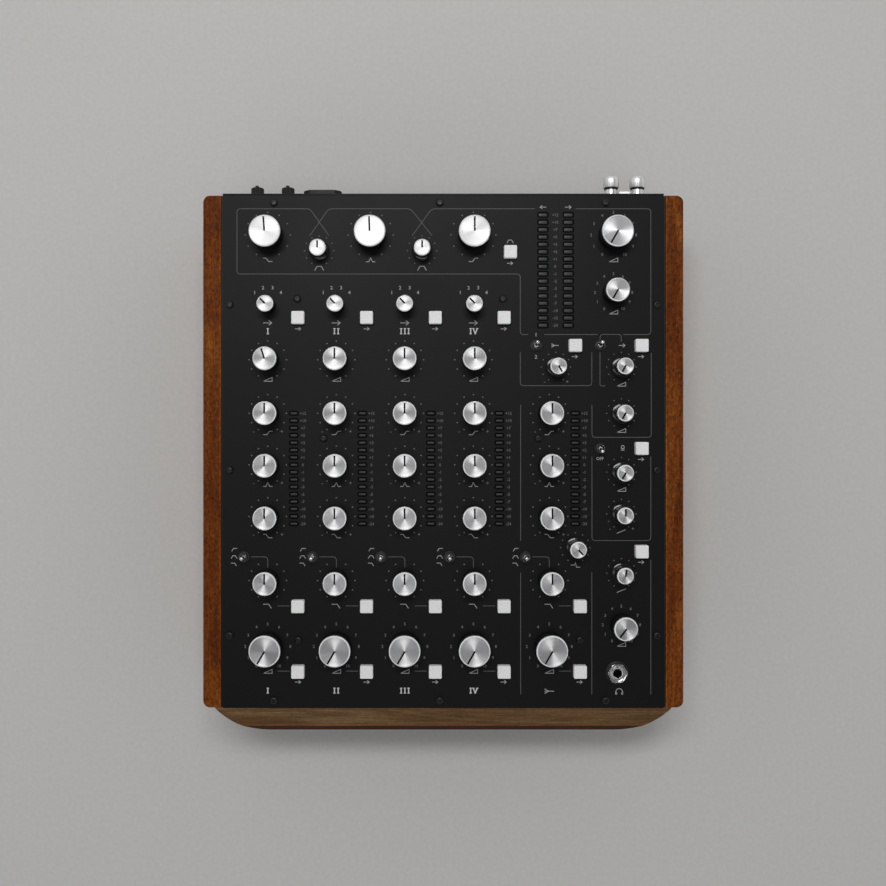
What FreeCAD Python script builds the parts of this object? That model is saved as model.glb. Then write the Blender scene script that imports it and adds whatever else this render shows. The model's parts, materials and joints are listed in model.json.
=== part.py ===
import FreeCAD, Part
import math
import os
from collections import namedtuple

# Rotary mixing desk with four channels, a submix column and an output column.
# Sizes are in millimetres. +Z is up, +Y points to the rear, +X to the user's right.
# The origin lies under the middle of the desk, on the surface that it stands on.

# Panel layout from left to right
LEFT_MARGIN = 33.0
CHANNEL_COUNT = 4
CHANNEL_PITCH = 49.6
SUBMIX_STEP = 54.9
OUTPUT_STEP = 52.2
RIGHT_MARGIN = 31.1

# Panel layout from rear to front
REAR_MARGIN = 28.7
ISOLATOR_TO_SOURCE = 51.1
SOURCE_TO_GAIN = 39.2
GAIN_TO_TREBLE = 38.8
TONE_PITCH = 37.3
BASS_TO_FILTER = 46.4
FILTER_TO_MIX = 47.7
FRONT_MARGIN = 44.5

# Controls that stand beside the main rows and columns
CROSSOVER_DROP = 11.4
ISOLATOR_BUTTON_ASIDE = 26.6
ISOLATOR_BUTTON_DROP = 12.6
BUTTON_ASIDE = 22.0
SOURCE_BUTTON_DROP = 9.0
FILTER_BUTTON_DROP = 18.4
CUE_BUTTON_DROP = 17.9
MODE_TOGGLE_ASIDE = 17.3
MODE_TOGGLE_RISE = 17.1
MASTER_ASIDE = 5.7
BOOTH_DROP = 41.6
LOOP_KNOB_ASIDE = 4.8
LOOP_KNOB_DROP = 5.3
LOOP_SWITCH_RISE = 10.1
LOOP_TOGGLE_ASIDE = 9.6
LOOP_BUTTON_ASIDE = 18.6
OUTPUT_TOGGLE_ASIDE = 15.5
OUTPUT_BUTTON_ASIDE = 14.3
MIC_SWITCH_RISE = 11.9
MIC_GAIN_DROP = 5.3
MIC_TONE_RISE = 1.7
RESONANCE_ASIDE = 18.9
RESONANCE_RISE = 23.8
SPLIT_BUTTON_RISE = 21.1
PAN_RISE = 5.3
PHONES_LEVEL_RISE = 15.7
PHONES_JACK_ASIDE = 3.2
PHONES_JACK_DROP = 19.0

# Level meters
METER_SEGMENTS = 16
METER_PITCH = 5.33
CHANNEL_METER_ASIDE = 18.8
CHANNEL_SLOT_WIDTH = 5.6
CHANNEL_SLOT_HEIGHT = 2.2
MAIN_METER_LEFT = 4.6
MAIN_METER_RIGHT = 13.8
MAIN_METER_RISE = 14.5
MAIN_SLOT_WIDTH = 6.8
MAIN_SLOT_HEIGHT = 3.0
SLOT_CORNER = 0.6
LENS_CLEARANCE = 0.2
LENS_DROP = 0.5
METER_BASE_SHOULDER = 0.8

# Faceplate and its screws
PANEL_THICKNESS = 2.0
PANEL_CORNER = 1.5
PANEL_SIDE_GAP = 1.0
SCREW_EDGE = 5.5
SCREW_ROW_SHIFT = 2.5
SCREW_ROW_PITCH = 120.0
SCREW_SIDE_SHIFT = 13.4
SCREW_SIDE_PITCH = 119.7
SOURCE_SCREW_ASIDE = 21.3
SOURCE_SCREW_RISE = 4.8
TONE_SCREW_ASIDE = 9.2
SUBMIX_SCREW_ASIDE = 7.9
TONE_SCREW_DROP = 18.1
MIX_SCREW_ASIDE = 22.1
MIX_SCREW_RISE = 4.6

# Steel case: a folded tray and a rear plate
SHEET = 1.5
CASE_HEIGHT = 80.0
FLANGE_WIDTH = 10.0
FLANGE_GAP = 0.5
VENT_COUNT = 9
VENT_LENGTH = 60.0
VENT_WIDTH = 3.0
VENT_CORNER = 1.0
VENT_PITCH = 9.0
VENT_ASIDE = 70.0

# Rubber feet
FOOT_DIAMETER = 19.0
FOOT_HEIGHT = 8.0
FOOT_EDGE = 1.2
FOOT_INSET = 28.0
FOOT_RECESS_DIAMETER = 9.6
FOOT_RECESS_DEPTH = 4.0

# Wooden cheeks and front rail
CHEEK_THICKNESS = 13.0
CHEEK_RISE = 0.6
CHEEK_GROUND_GAP = 3.5
CHEEK_CORNER = 5.0
CHEEK_EDGE = 2.2
RAIL_REACH = 23.9
RAIL_SHOULDER_REACH = 17.8
RAIL_TOP_DROP = 1.2
RAIL_SHOULDER_DROP = 16.0
RAIL_NOSE_DROP = 26.0
RAIL_BASE_RISE = 14.0
RAIL_UNDERCUT = 9.0
RAIL_LIP = 1.0
RAIL_END_INSET = 8.5
RAIL_CORNER_RADIUS = 45.0
RAIL_EDGE = 2.5

# Knobs: turned metal caps on black bodies, on rotary shafts
LARGE_CAP = 22.6
MEDIUM_CAP = 17.0
SMALL_CAP = 12.1
SMALL_FLANGE = 14.6
TALL_KNOB = 16.4
SHORT_KNOB = 14.4
KNOB_GAP = 0.6
KNOB_SKIRT = 1.8
CAP_THICKNESS = 2.4
CAP_LIP = 0.25
CAP_CHAMFER = 0.7
POINTER_WIDTH = 0.9
POINTER_DEPTH = 0.35
POINTER_RIM = 1.1
SHAFT_DIAMETER = 6.0
SHAFT_SEAT = 2.0
SEAT_CLEARANCE = 0.02
RUNNING_CLEARANCE = 0.05
POT_WIDTH = 11.0
POT_HEIGHT = 9.0
POT_FLOOR = 1.5
SHAFT_END_GAP = 0.3
BUSH_WALL = 0.6
HOLE_CLEARANCE = 0.3

# Push buttons and their switches
BUTTON_WIDTH = 9.7
BUTTON_CORNER = 0.9
BUTTON_EDGE = 0.5
BUTTON_RISE = 4.0
BUTTON_SKIRT = 0.5
BUTTON_GAP = 0.35
BUTTON_TRAVEL = 2.0
BUTTON_END_GAP = 0.6
STEM_DIAMETER = 4.0
STEM_ENGAGEMENT = 1.8
SWITCH_WIDTH = 8.5

# Toggle switches
TOGGLE_BUSH = 5.8
TOGGLE_BORE = 4.7
TOGGLE_BUSH_RISE = 3.4
TOGGLE_BORE_DEPTH = 3.2
TOGGLE_BALL_CLEARANCE = 0.2
TOGGLE_PIVOT_RISE = 1.3
TOGGLE_LEVER = 10.2
TOGGLE_ROOT = 2.0
TOGGLE_TIP = 2.9
TOGGLE_LEAN = 12.0
TOGGLE_WIDTH = 8.0
TOGGLE_LENGTH = 13.0
TOGGLE_NUT = 8.2
TOGGLE_NUT_HEIGHT = 1.1

# Panel screws with button heads, and the wood and foot screws
SCREW_SHANK = 3.0
SCREW_HEAD = 5.7
SCREW_HEAD_HEIGHT = 1.7
SCREW_CROWN = 2.8
SCREW_BULGE = 0.45
SCREW_SOCKET = 2.1
SCREW_SOCKET_DEPTH = 1.0
SCREW_LENGTH = 7.0
THREAD_CLEARANCE = 0.03
WOOD_SCREW_SHANK = 4.0
WOOD_SCREW_HEAD = 7.6
WOOD_SCREW_HEAD_HEIGHT = 2.4
WOOD_SCREW_LENGTH = 11.0
CHEEK_SCREW_INSET = 52.0
CHEEK_SCREW_EDGE = 16.0
RAIL_SCREW_PITCH = 110.0
RAIL_SCREW_DROP = 42.0

# Boards, spacers and the power supply inside the case
BOARD_THICKNESS = 1.6
BOARD_SIDE_GAP = 2.5
SPACER_DIAMETER = 6.0
JACK_CORNER_WIDTH = 42.0
JACK_CORNER_DEPTH = 44.0
JACK_BOARD_DEPTH = 16.0
JACK_BOARD_EDGE = 9.0
JACK_BOARD_RISE = 4.0
POWER_BOARD_WIDTH = 120.0
POWER_BOARD_DEPTH = 90.0
POWER_BOARD_RISE = 6.0
POWER_BOARD_SPACER_INSET = 7.0
POWER_BOARD_FORWARD = 40.0
TRANSFORMER_DIAMETER = 56.0
TRANSFORMER_HEIGHT = 28.0
TRANSFORMER_HOLE = 14.0
CAPACITOR_DIAMETER = 16.0
CAPACITOR_HEIGHT = 24.0
CAPACITOR_PITCH = 20.0
COMPONENT_ASIDE = 26.0

# Phones socket on the panel
PLUG_BORE = 6.4
PHONES_BUSH = 9.5
PHONES_BUSH_RISE = 3.4
PHONES_NUT = 13.0
PHONES_NUT_HEIGHT = 2.4
PHONES_WASHER = 16.8
PHONES_WASHER_HEIGHT = 0.6
PHONES_BODY = 17.0
PHONES_BODY_DEPTH = 24.0
PLUG_DEPTH = 23.0

# Rear sockets: places from the case centre, heights from the floor or down from the panel
UPPER_ROW_DROP = 24.0
LOWER_ROW_RISE = 17.0
SOCKET_ROW_PITCH = 18.0
PIN_SOCKET_FIRST = 30.0
PIN_SOCKET_COLUMNS = 6
PIN_SOCKET_PITCH = 19.0
PIN_SOCKET_DIAMETER = 8.3
PIN_SOCKET_REACH = 8.6
PIN_SOCKET_HOLE = 3.2
PIN_SOCKET_HOLE_DEPTH = 7.0
PIN_SOCKET_BOSS = 10.4
PIN_SOCKET_BOSS_REACH = 0.6
PIN_SOCKET_BODY = 12.0
PIN_SOCKET_CHAMFER = 0.5
PLUG_SOCKET_FIRST = -92.0
PLUG_SOCKET_PITCH = 22.0
PLUG_SOCKET_BUSH = 9.5
PLUG_SOCKET_REACH = 3.2
PLUG_SOCKET_NUT = 12.5
PLUG_SOCKET_NUT_HEIGHT = 2.4
PLUG_SOCKET_BODY = 14.5
BALANCED_FIRST = -42.0
BALANCED_PITCH = 36.0
MIC_SOCKET_PLACE = -126.0
BALANCED_SHELL = 23.0
BALANCED_FLANGE_WIDTH = 26.0
BALANCED_FLANGE_HEIGHT = 31.0
BALANCED_FLANGE = 2.0
BALANCED_FLANGE_CORNER = 3.0
BALANCED_CUP = 18.8
BALANCED_CUP_DEPTH = 14.0
BALANCED_STEP = 0.4
CONTACT_DIAMETER = 2.4
CONTACT_LENGTH = 8.5
CONTACT_RING = 5.0
CONTACT_SPREAD = 110.0
CONTACT_DROP = 0.3
MAINS_INLET_PLACE = -89.0
MAINS_SHROUD_WIDTH = 28.0
MAINS_SHROUD_HEIGHT = 20.5
MAINS_SHROUD_REACH = 7.3
MAINS_SHROUD_BEVEL = 4.0
MAINS_WALL = 2.0
MAINS_CAVITY_DEPTH = 17.0
MAINS_DEPTH = 24.0
BLADE_WIDTH = 2.0
BLADE_HEIGHT = 4.0
BLADE_LENGTH = 11.0
BLADE_PITCH = 7.0
BLADE_STEP = 2.0
FUSE_FIRST = -138.2
FUSE_PITCH = 22.8
FUSE_DIAMETER = 9.6
FUSE_REACH = 10.6
FUSE_GRIP_WIDTH = 2.4
FUSE_GRIP_LENGTH = 7.7
FUSE_GRIP_REACH = 1.4
FUSE_COLLAR = 13.0
FUSE_COLLAR_REACH = 2.0
FUSE_BODY = 11.0
FUSE_BODY_DEPTH = 26.0
POST_FIRST = 126.1
POST_PITCH = 19.6
POST_REACH = 20.0
POST_CAP = 11.6
POST_CAP_LENGTH = 9.2
POST_DOME = 2.2
POST_RING = 10.0
POST_RING_LENGTH = 1.4
POST_NECK = 9.0
POST_STUD = 4.0
POST_STUD_DEPTH = 8.0
POST_LINK_THICKNESS = 1.6
POST_LINK_WIDTH = 8.4
POST_LINK_REACH = 8.2

# Sizes that follow from the ones above
V = FreeCAD.Vector
UP = V(0, 0, 1)
REARWARD = V(0, 1, 0)

panel_width = LEFT_MARGIN + (CHANNEL_COUNT - 1) * CHANNEL_PITCH + SUBMIX_STEP + OUTPUT_STEP + RIGHT_MARGIN
panel_depth = (REAR_MARGIN + ISOLATOR_TO_SOURCE + SOURCE_TO_GAIN + GAIN_TO_TREBLE + 2 * TONE_PITCH
               + BASS_TO_FILTER + FILTER_TO_MIX + FRONT_MARGIN)
front_edge = RAIL_REACH - (RAIL_REACH + panel_depth + POST_REACH) / 2
rear_edge = front_edge + panel_depth
middle_y = (front_edge + rear_edge) / 2

floor_z = FOOT_HEIGHT
panel_under = FOOT_HEIGHT + CASE_HEIGHT
panel_top = panel_under + PANEL_THICKNESS
board_top = panel_under - POT_HEIGHT
case_half = panel_width / 2 + PANEL_SIDE_GAP

channel_x = [LEFT_MARGIN - panel_width / 2 + i * CHANNEL_PITCH for i in range(CHANNEL_COUNT)]
submix_x = channel_x[-1] + SUBMIX_STEP
output_x = submix_x + OUTPUT_STEP
strip_x = channel_x + [submix_x]

isolator_y = rear_edge - REAR_MARGIN
source_y = isolator_y - ISOLATOR_TO_SOURCE
gain_y = source_y - SOURCE_TO_GAIN
treble_y = gain_y - GAIN_TO_TREBLE
middle_tone_y = treble_y - TONE_PITCH
bass_y = middle_tone_y - TONE_PITCH
filter_y = bass_y - BASS_TO_FILTER
mix_y = filter_y - FILTER_TO_MIX
loop_switch_y = gain_y + LOOP_SWITCH_RISE
mic_switch_y = middle_tone_y + MIC_SWITCH_RISE

shaft_r = SHAFT_DIAMETER / 2
bush_r = shaft_r + RUNNING_CLEARANCE + BUSH_WALL
switch_top = panel_under - BUTTON_SKIRT - BUTTON_TRAVEL - BUTTON_END_GAP
upper_row_z = panel_top - UPPER_ROW_DROP
lower_row_z = floor_z + LOWER_ROW_RISE
rear_inside = rear_edge - SHEET
balanced_mouth_depth = BALANCED_CUP_DEPTH - CONTACT_LENGTH - CONTACT_DROP

KnobSize = namedtuple("KnobSize", "cap flange height")
LARGE = KnobSize(LARGE_CAP, LARGE_CAP, TALL_KNOB)
MEDIUM = KnobSize(MEDIUM_CAP, MEDIUM_CAP, TALL_KNOB)
SMALL = KnobSize(SMALL_CAP, SMALL_FLANGE, SHORT_KNOB)
SELECTOR = KnobSize(SMALL_CAP, SMALL_CAP, SHORT_KNOB)

# A knob's pointer at rest is in degrees clockwise from the rear, and its stops likewise.
Knob = namedtuple("Knob", "name x y size rest low high")
SWEEP = 150.0
SELECTOR_SWEEP = 45.0


def turning(name, x, y, size, rest):
    """A potentiometer knob with the usual 300 degrees of travel."""
    return Knob(name, x, y, size, rest, -SWEEP, SWEEP)


def knob_layout():
    """Every knob of the panel, by section."""
    isolator_middle = (channel_x[0] + channel_x[-1]) / 2
    crossover_y = isolator_y - CROSSOVER_DROP
    master_x = output_x - MASTER_ASIDE
    knobs = [
        turning("isolator_low_knob", channel_x[0], isolator_y, LARGE, -4),
        turning("isolator_mid_knob", isolator_middle, isolator_y, LARGE, -2),
        turning("isolator_high_knob", channel_x[-1], isolator_y, LARGE, 0),
        turning("low_crossover_knob", (channel_x[0] + isolator_middle) / 2, crossover_y, SMALL, 0),
        turning("high_crossover_knob", (isolator_middle + channel_x[-1]) / 2, crossover_y, SMALL, 0),
        turning("master_knob", master_x, isolator_y, LARGE, -SWEEP),
        turning("booth_knob", master_x, isolator_y - BOOTH_DROP, MEDIUM, -SWEEP),
        turning("loop_level_knob", submix_x + LOOP_KNOB_ASIDE, gain_y - LOOP_KNOB_DROP, SMALL, SWEEP),
        turning("session_in_knob", output_x, gain_y - LOOP_KNOB_DROP, SMALL, -SWEEP),
        turning("session_out_knob", output_x, treble_y, SMALL, -SWEEP),
        turning("mic_gain_knob", output_x, middle_tone_y - MIC_GAIN_DROP, SMALL, -SWEEP),
        turning("mic_tone_knob", output_x, bass_y + MIC_TONE_RISE, SMALL, 0),
        turning("resonance_knob", submix_x + RESONANCE_ASIDE, filter_y + RESONANCE_RISE, SMALL, 137),
        turning("phones_pan_knob", output_x, filter_y + PAN_RISE, SMALL, 7),
        turning("phones_level_knob", output_x, mix_y + PHONES_LEVEL_RISE, MEDIUM, -142),
    ]
    for i, x in enumerate(channel_x):
        name = "channel_%d_" % (i + 1)
        knobs.append(Knob(name + "source_knob", x, source_y, SELECTOR, -SELECTOR_SWEEP,
                          -SELECTOR_SWEEP, SELECTOR_SWEEP))
        knobs.append(turning(name + "gain_knob", x, gain_y, MEDIUM, -18 if i == 0 else 0))
    strip_names = ["channel_%d_" % (i + 1) for i in range(CHANNEL_COUNT)] + ["submix_"]
    for x, name in zip(strip_x, strip_names):
        knobs.append(turning(name + "treble_knob", x, treble_y, MEDIUM, 0))
        knobs.append(turning(name + "middle_knob", x, middle_tone_y, MEDIUM, 0))
        knobs.append(turning(name + "bass_knob", x, bass_y, MEDIUM, 0))
        knobs.append(turning(name + "filter_knob", x, filter_y, MEDIUM, 0))
        knobs.append(turning(name + "mix_knob", x, mix_y, LARGE, -SWEEP))
    return knobs


def button_places():
    """Centres of the square push buttons."""
    places = [(x + BUTTON_ASIDE, source_y - SOURCE_BUTTON_DROP) for x in channel_x]
    places += [(x + BUTTON_ASIDE, filter_y - FILTER_BUTTON_DROP) for x in strip_x]
    places += [(x + BUTTON_ASIDE, mix_y - CUE_BUTTON_DROP) for x in strip_x]
    places.append((channel_x[-1] + ISOLATOR_BUTTON_ASIDE, isolator_y - ISOLATOR_BUTTON_DROP))
    places.append((submix_x + LOOP_BUTTON_ASIDE, loop_switch_y))
    output_button_x = output_x + OUTPUT_BUTTON_ASIDE
    places.append((output_button_x, loop_switch_y))
    places.append((output_button_x, mic_switch_y))
    places.append((output_button_x, filter_y + SPLIT_BUTTON_RISE))
    return places


def toggle_groups():
    """Centres of the toggle switches and their lean at rest, by the node that holds their levers."""
    return {
        "filter_mode_toggles": ([(x - MODE_TOGGLE_ASIDE, filter_y + MODE_TOGGLE_RISE) for x in strip_x], 0),
        "routing_toggles": ([(submix_x - LOOP_TOGGLE_ASIDE, loop_switch_y),
                             (output_x - OUTPUT_TOGGLE_ASIDE, loop_switch_y)], TOGGLE_LEAN),
        "mic_toggle": ([(output_x - OUTPUT_TOGGLE_ASIDE, mic_switch_y)], -TOGGLE_LEAN),
    }


def toggle_places():
    """All toggle centres in one list."""
    return [place for places, lean in toggle_groups().values() for place in places]


def meter_columns():
    """Each meter as x, y of its top segment, slot width and slot height."""
    columns = [(x + CHANNEL_METER_ASIDE, treble_y, CHANNEL_SLOT_WIDTH, CHANNEL_SLOT_HEIGHT) for x in strip_x]
    for x in (submix_x - MAIN_METER_LEFT, submix_x + MAIN_METER_RIGHT):
        columns.append((x, isolator_y + MAIN_METER_RISE, MAIN_SLOT_WIDTH, MAIN_SLOT_HEIGHT))
    return columns


def edge_screw_places():
    """Screws that hold the faceplate to the case flanges, as x, y."""
    rows = [(-SCREW_ROW_SHIFT + i * SCREW_ROW_PITCH, y) for i in (-1, 0, 1)
            for y in (rear_edge - SCREW_EDGE, front_edge + SCREW_EDGE)]
    sides = [(side * (panel_width / 2 - SCREW_EDGE), middle_y - SCREW_SIDE_SHIFT + i * SCREW_SIDE_PITCH)
             for i in (-1, 0, 1) for side in (-1, 1)]
    return rows + sides


def board_screw_places():
    """Screws that hold the control board's spacers to the faceplate."""
    tone_y = treble_y - TONE_SCREW_DROP
    return [
        (channel_x[0] + SOURCE_SCREW_ASIDE, source_y + SOURCE_SCREW_RISE),
        (channel_x[-1] + SOURCE_SCREW_ASIDE, source_y + SOURCE_SCREW_RISE),
        (channel_x[1] - TONE_SCREW_ASIDE, tone_y),
        (submix_x - SUBMIX_SCREW_ASIDE, tone_y),
        (channel_x[0] + MIX_SCREW_ASIDE, mix_y + MIX_SCREW_RISE),
        (submix_x + MIX_SCREW_ASIDE, mix_y + MIX_SCREW_RISE),
    ]


def phones_place():
    """Centre of the phones socket."""
    return output_x - PHONES_JACK_ASIDE, mix_y - PHONES_JACK_DROP


def foot_places():
    """Centres of the four feet."""
    x = case_half - FOOT_INSET
    return [(sx * x, y) for sx in (-1, 1) for y in (front_edge + FOOT_INSET, rear_edge - FOOT_INSET)]


def pin_socket_places():
    """Rear phono sockets as x, z in two rows."""
    return [(PIN_SOCKET_FIRST + i * PIN_SOCKET_PITCH, lower_row_z + row * SOCKET_ROW_PITCH)
            for i in range(PIN_SOCKET_COLUMNS) for row in (0, 1)]


def plug_socket_places():
    """Rear plug sockets as x, z in two rows."""
    return [(PLUG_SOCKET_FIRST + i * PLUG_SOCKET_PITCH, lower_row_z + row * SOCKET_ROW_PITCH)
            for i in (0, 1) for row in (0, 1)]


def balanced_z():
    """Height of the three-pin sockets, between the two socket rows."""
    return lower_row_z + SOCKET_ROW_PITCH / 2


def balanced_places():
    """Rear three-pin output sockets as x, z."""
    return [(BALANCED_FIRST + i * BALANCED_PITCH, balanced_z()) for i in (0, 1)]


def box(x0, x1, y0, y1, z0, z1):
    """A block between two corners."""
    return Part.makeBox(x1 - x0, y1 - y0, z1 - z0, V(x0, y0, z0))


def post(x, y, z0, z1, radius):
    """An upright cylinder."""
    return Part.makeCylinder(radius, z1 - z0, V(x, y, z0), UP)


def rod(x, z, y0, y1, radius):
    """A cylinder that runs rearward."""
    return Part.makeCylinder(radius, y1 - y0, V(x, y0, z), REARWARD)


def upright_block(x, y, width, depth, z0, z1):
    """A block centred on an upright axis."""
    return box(x - width / 2, x + width / 2, y - depth / 2, y + depth / 2, z0, z1)


def rear_block(x, z, width, height, y0, y1):
    """A block centred on a rearward axis."""
    return box(x - width / 2, x + width / 2, y0, y1, z - height / 2, z + height / 2)


def rounded_outline(x, y, width, depth, corner, z):
    """A level rectangle with rounded corners, as one closed wire."""
    left, right = x - width / 2, x + width / 2
    front, rear = y - depth / 2, y + depth / 2
    c = corner
    slant = c * (1 - math.sqrt(0.5))
    edges = [
        Part.LineSegment(V(left + c, front, z), V(right - c, front, z)),
        Part.Arc(V(right - c, front, z), V(right - slant, front + slant, z), V(right, front + c, z)),
        Part.LineSegment(V(right, front + c, z), V(right, rear - c, z)),
        Part.Arc(V(right, rear - c, z), V(right - slant, rear - slant, z), V(right - c, rear, z)),
        Part.LineSegment(V(right - c, rear, z), V(left + c, rear, z)),
        Part.Arc(V(left + c, rear, z), V(left + slant, rear - slant, z), V(left, rear - c, z)),
        Part.LineSegment(V(left, rear - c, z), V(left, front + c, z)),
        Part.Arc(V(left, front + c, z), V(left + slant, front + slant, z), V(left + c, front, z)),
    ]
    return Part.Wire([edge.toShape() for edge in edges])


def round_outline(x, y, radius, z):
    """A level circle as a closed wire."""
    return Part.Wire(Part.makeCircle(radius, V(x, y, z), UP))


def holed_plate(outline, holes, lift):
    """A plate from an outline and its holes, thickened along a vector."""
    return Part.makeFace([outline] + holes, "Part::FaceMakerBullseye").extrude(lift)


def turned(points, base, axis, across):
    """A solid of revolution from (radius, height) points along an axis."""
    ring = [base + across * r + axis * h for r, h in points]
    return Part.Face(Part.makePolygon(ring + ring[:1])).revolve(base, axis, 360)


def hexagon(x, y, across_flats, z0, z1):
    """An upright hexagonal prism."""
    radius = across_flats / math.sqrt(3)
    turns = [math.radians(60 * i) for i in range(7)]
    corners = [V(x + radius * math.cos(a), y + radius * math.sin(a), z0) for a in turns]
    return Part.Face(Part.makePolygon(corners)).extrude(UP * (z1 - z0))


def knob_solids(knob):
    """Black body, turned cap with its pointer groove, and the shaft that carries them."""
    foot = panel_top + KNOB_GAP
    top = foot + knob.size.height
    cap_under = top - CAP_THICKNESS
    cap_r = knob.size.cap / 2
    body_r = cap_r - CAP_LIP
    flange_r = max(knob.size.flange / 2 - CAP_LIP, body_r)
    seat_r = shaft_r + SEAT_CLEARANCE
    shaft_top = cap_under - SHAFT_SEAT
    base = V(knob.x, knob.y, 0)
    body_points = [(seat_r, foot), (flange_r, foot), (flange_r, foot + KNOB_SKIRT)]
    if flange_r > body_r:
        body_points.append((body_r, foot + KNOB_SKIRT))
    body_points += [(body_r, cap_under), (0, cap_under), (0, shaft_top), (seat_r, shaft_top)]
    body = turned(body_points, base, UP, V(1, 0, 0))
    cap = turned([(0, cap_under), (cap_r, cap_under), (cap_r, top - CAP_CHAMFER),
                  (cap_r - CAP_CHAMFER, top), (0, top)], base, UP, V(1, 0, 0))
    groove = box(knob.x - POINTER_WIDTH / 2, knob.x + POINTER_WIDTH / 2, knob.y,
                 knob.y + cap_r - POINTER_RIM, top - POINTER_DEPTH, top + POINTER_DEPTH)
    groove.rotate(base, UP, -knob.rest)
    shaft = post(knob.x, knob.y, board_top + POT_FLOOR + SHAFT_END_GAP, shaft_top, shaft_r)
    return [body, cap.cut(groove), shaft]


def button_solid(x, y):
    """Square button cap with eased edges on a round stem."""
    under = panel_under - BUTTON_SKIRT
    cap = Part.Face(rounded_outline(x, y, BUTTON_WIDTH, BUTTON_WIDTH, BUTTON_CORNER, under))
    cap = cap.extrude(UP * (panel_top + BUTTON_RISE - under))
    rim = [e for e in cap.Edges if min(v.Z for v in e.Vertexes) > panel_top + BUTTON_RISE / 2]
    cap = cap.makeChamfer(BUTTON_EDGE, rim)
    stem = post(x, y, switch_top - STEM_ENGAGEMENT, under, STEM_DIAMETER / 2)
    return cap.fuse(stem)


def switch_body(x, y):
    """Push switch housing with a blind bore for the button's stem."""
    housing = upright_block(x, y, SWITCH_WIDTH, SWITCH_WIDTH, board_top, switch_top)
    bore_floor = switch_top - STEM_ENGAGEMENT - BUTTON_TRAVEL - BUTTON_END_GAP
    return housing.cut(post(x, y, bore_floor, switch_top, STEM_DIAMETER / 2 + RUNNING_CLEARANCE))


def toggle_lever(x, y, lean):
    """Ball and tapered lever with a rounded tip, leaning toward the rear by a positive angle."""
    pivot = V(x, y, panel_top + TOGGLE_PIVOT_RISE)
    ball = Part.makeSphere(TOGGLE_BORE / 2 - TOGGLE_BALL_CLEARANCE, pivot)
    tip_r = TOGGLE_TIP / 2
    lever = Part.makeCone(TOGGLE_ROOT / 2, tip_r, TOGGLE_LEVER - tip_r, pivot, UP)
    tip = Part.makeSphere(tip_r, pivot + UP * (TOGGLE_LEVER - tip_r))
    whole = ball.fuse([lever, tip])
    whole.rotate(pivot, V(1, 0, 0), -lean)
    return whole


def toggle_body(x, y):
    """Toggle housing with the bush that stands through the faceplate."""
    housing = upright_block(x, y, TOGGLE_WIDTH, TOGGLE_LENGTH, board_top, panel_under)
    bush = post(x, y, panel_under, panel_top + TOGGLE_BUSH_RISE, TOGGLE_BUSH / 2)
    bore = post(x, y, panel_top - TOGGLE_BORE_DEPTH, panel_top + TOGGLE_BUSH_RISE, TOGGLE_BORE / 2)
    return housing.fuse(bush).cut(bore)


def toggle_nut(x, y):
    """Thin round nut on the toggle's bush."""
    ring = post(x, y, panel_top, panel_top + TOGGLE_NUT_HEIGHT, TOGGLE_NUT / 2)
    return ring.cut(post(x, y, panel_top, panel_top + TOGGLE_NUT_HEIGHT, TOGGLE_BUSH / 2 + THREAD_CLEARANCE))


def potentiometer(knob):
    """Rotary control housing with a bush that carries the knob's shaft."""
    housing = upright_block(knob.x, knob.y, POT_WIDTH, POT_WIDTH, board_top, panel_under)
    bush = post(knob.x, knob.y, panel_under, panel_top, bush_r)
    bore = post(knob.x, knob.y, board_top + POT_FLOOR, panel_top, shaft_r + RUNNING_CLEARANCE)
    return housing.fuse(bush).cut(bore)


def meter_bar(x, top_y, slot_width, slot_height):
    """Light bar on the board, with one raised lens in each slot of the faceplate."""
    rows = [top_y - i * METER_PITCH for i in range(METER_SEGMENTS)]
    width = slot_width + 2 * METER_BASE_SHOULDER
    base = box(x - width / 2, x + width / 2, rows[-1] - METER_PITCH / 2, rows[0] + METER_PITCH / 2,
               board_top, panel_under)
    lenses = [upright_block(x, y, slot_width - 2 * LENS_CLEARANCE, slot_height - 2 * LENS_CLEARANCE,
                            panel_under, panel_top - LENS_DROP) for y in rows]
    return base.fuse(lenses)


def top_panel():
    """Faceplate with a hole for every control, slot and screw."""
    z = panel_top
    holes = [round_outline(k.x, k.y, bush_r + HOLE_CLEARANCE, z) for k in knob_layout()]
    button_hole = BUTTON_WIDTH + 2 * BUTTON_GAP
    holes += [rounded_outline(x, y, button_hole, button_hole, BUTTON_CORNER + BUTTON_GAP, z)
              for x, y in button_places()]
    holes += [round_outline(x, y, TOGGLE_BUSH / 2 + HOLE_CLEARANCE, z) for x, y in toggle_places()]
    for x, top_y, slot_width, slot_height in meter_columns():
        for i in range(METER_SEGMENTS):
            holes.append(rounded_outline(x, top_y - i * METER_PITCH, slot_width, slot_height, SLOT_CORNER, z))
    holes += [round_outline(x, y, SCREW_SHANK / 2 + HOLE_CLEARANCE, z)
              for x, y in edge_screw_places() + board_screw_places()]
    holes.append(round_outline(*phones_place(), PHONES_BUSH / 2 + HOLE_CLEARANCE, z))
    outline = rounded_outline(0, middle_y, panel_width, panel_depth, PANEL_CORNER, z)
    return holed_plate(outline, holes, UP * -PANEL_THICKNESS)


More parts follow.
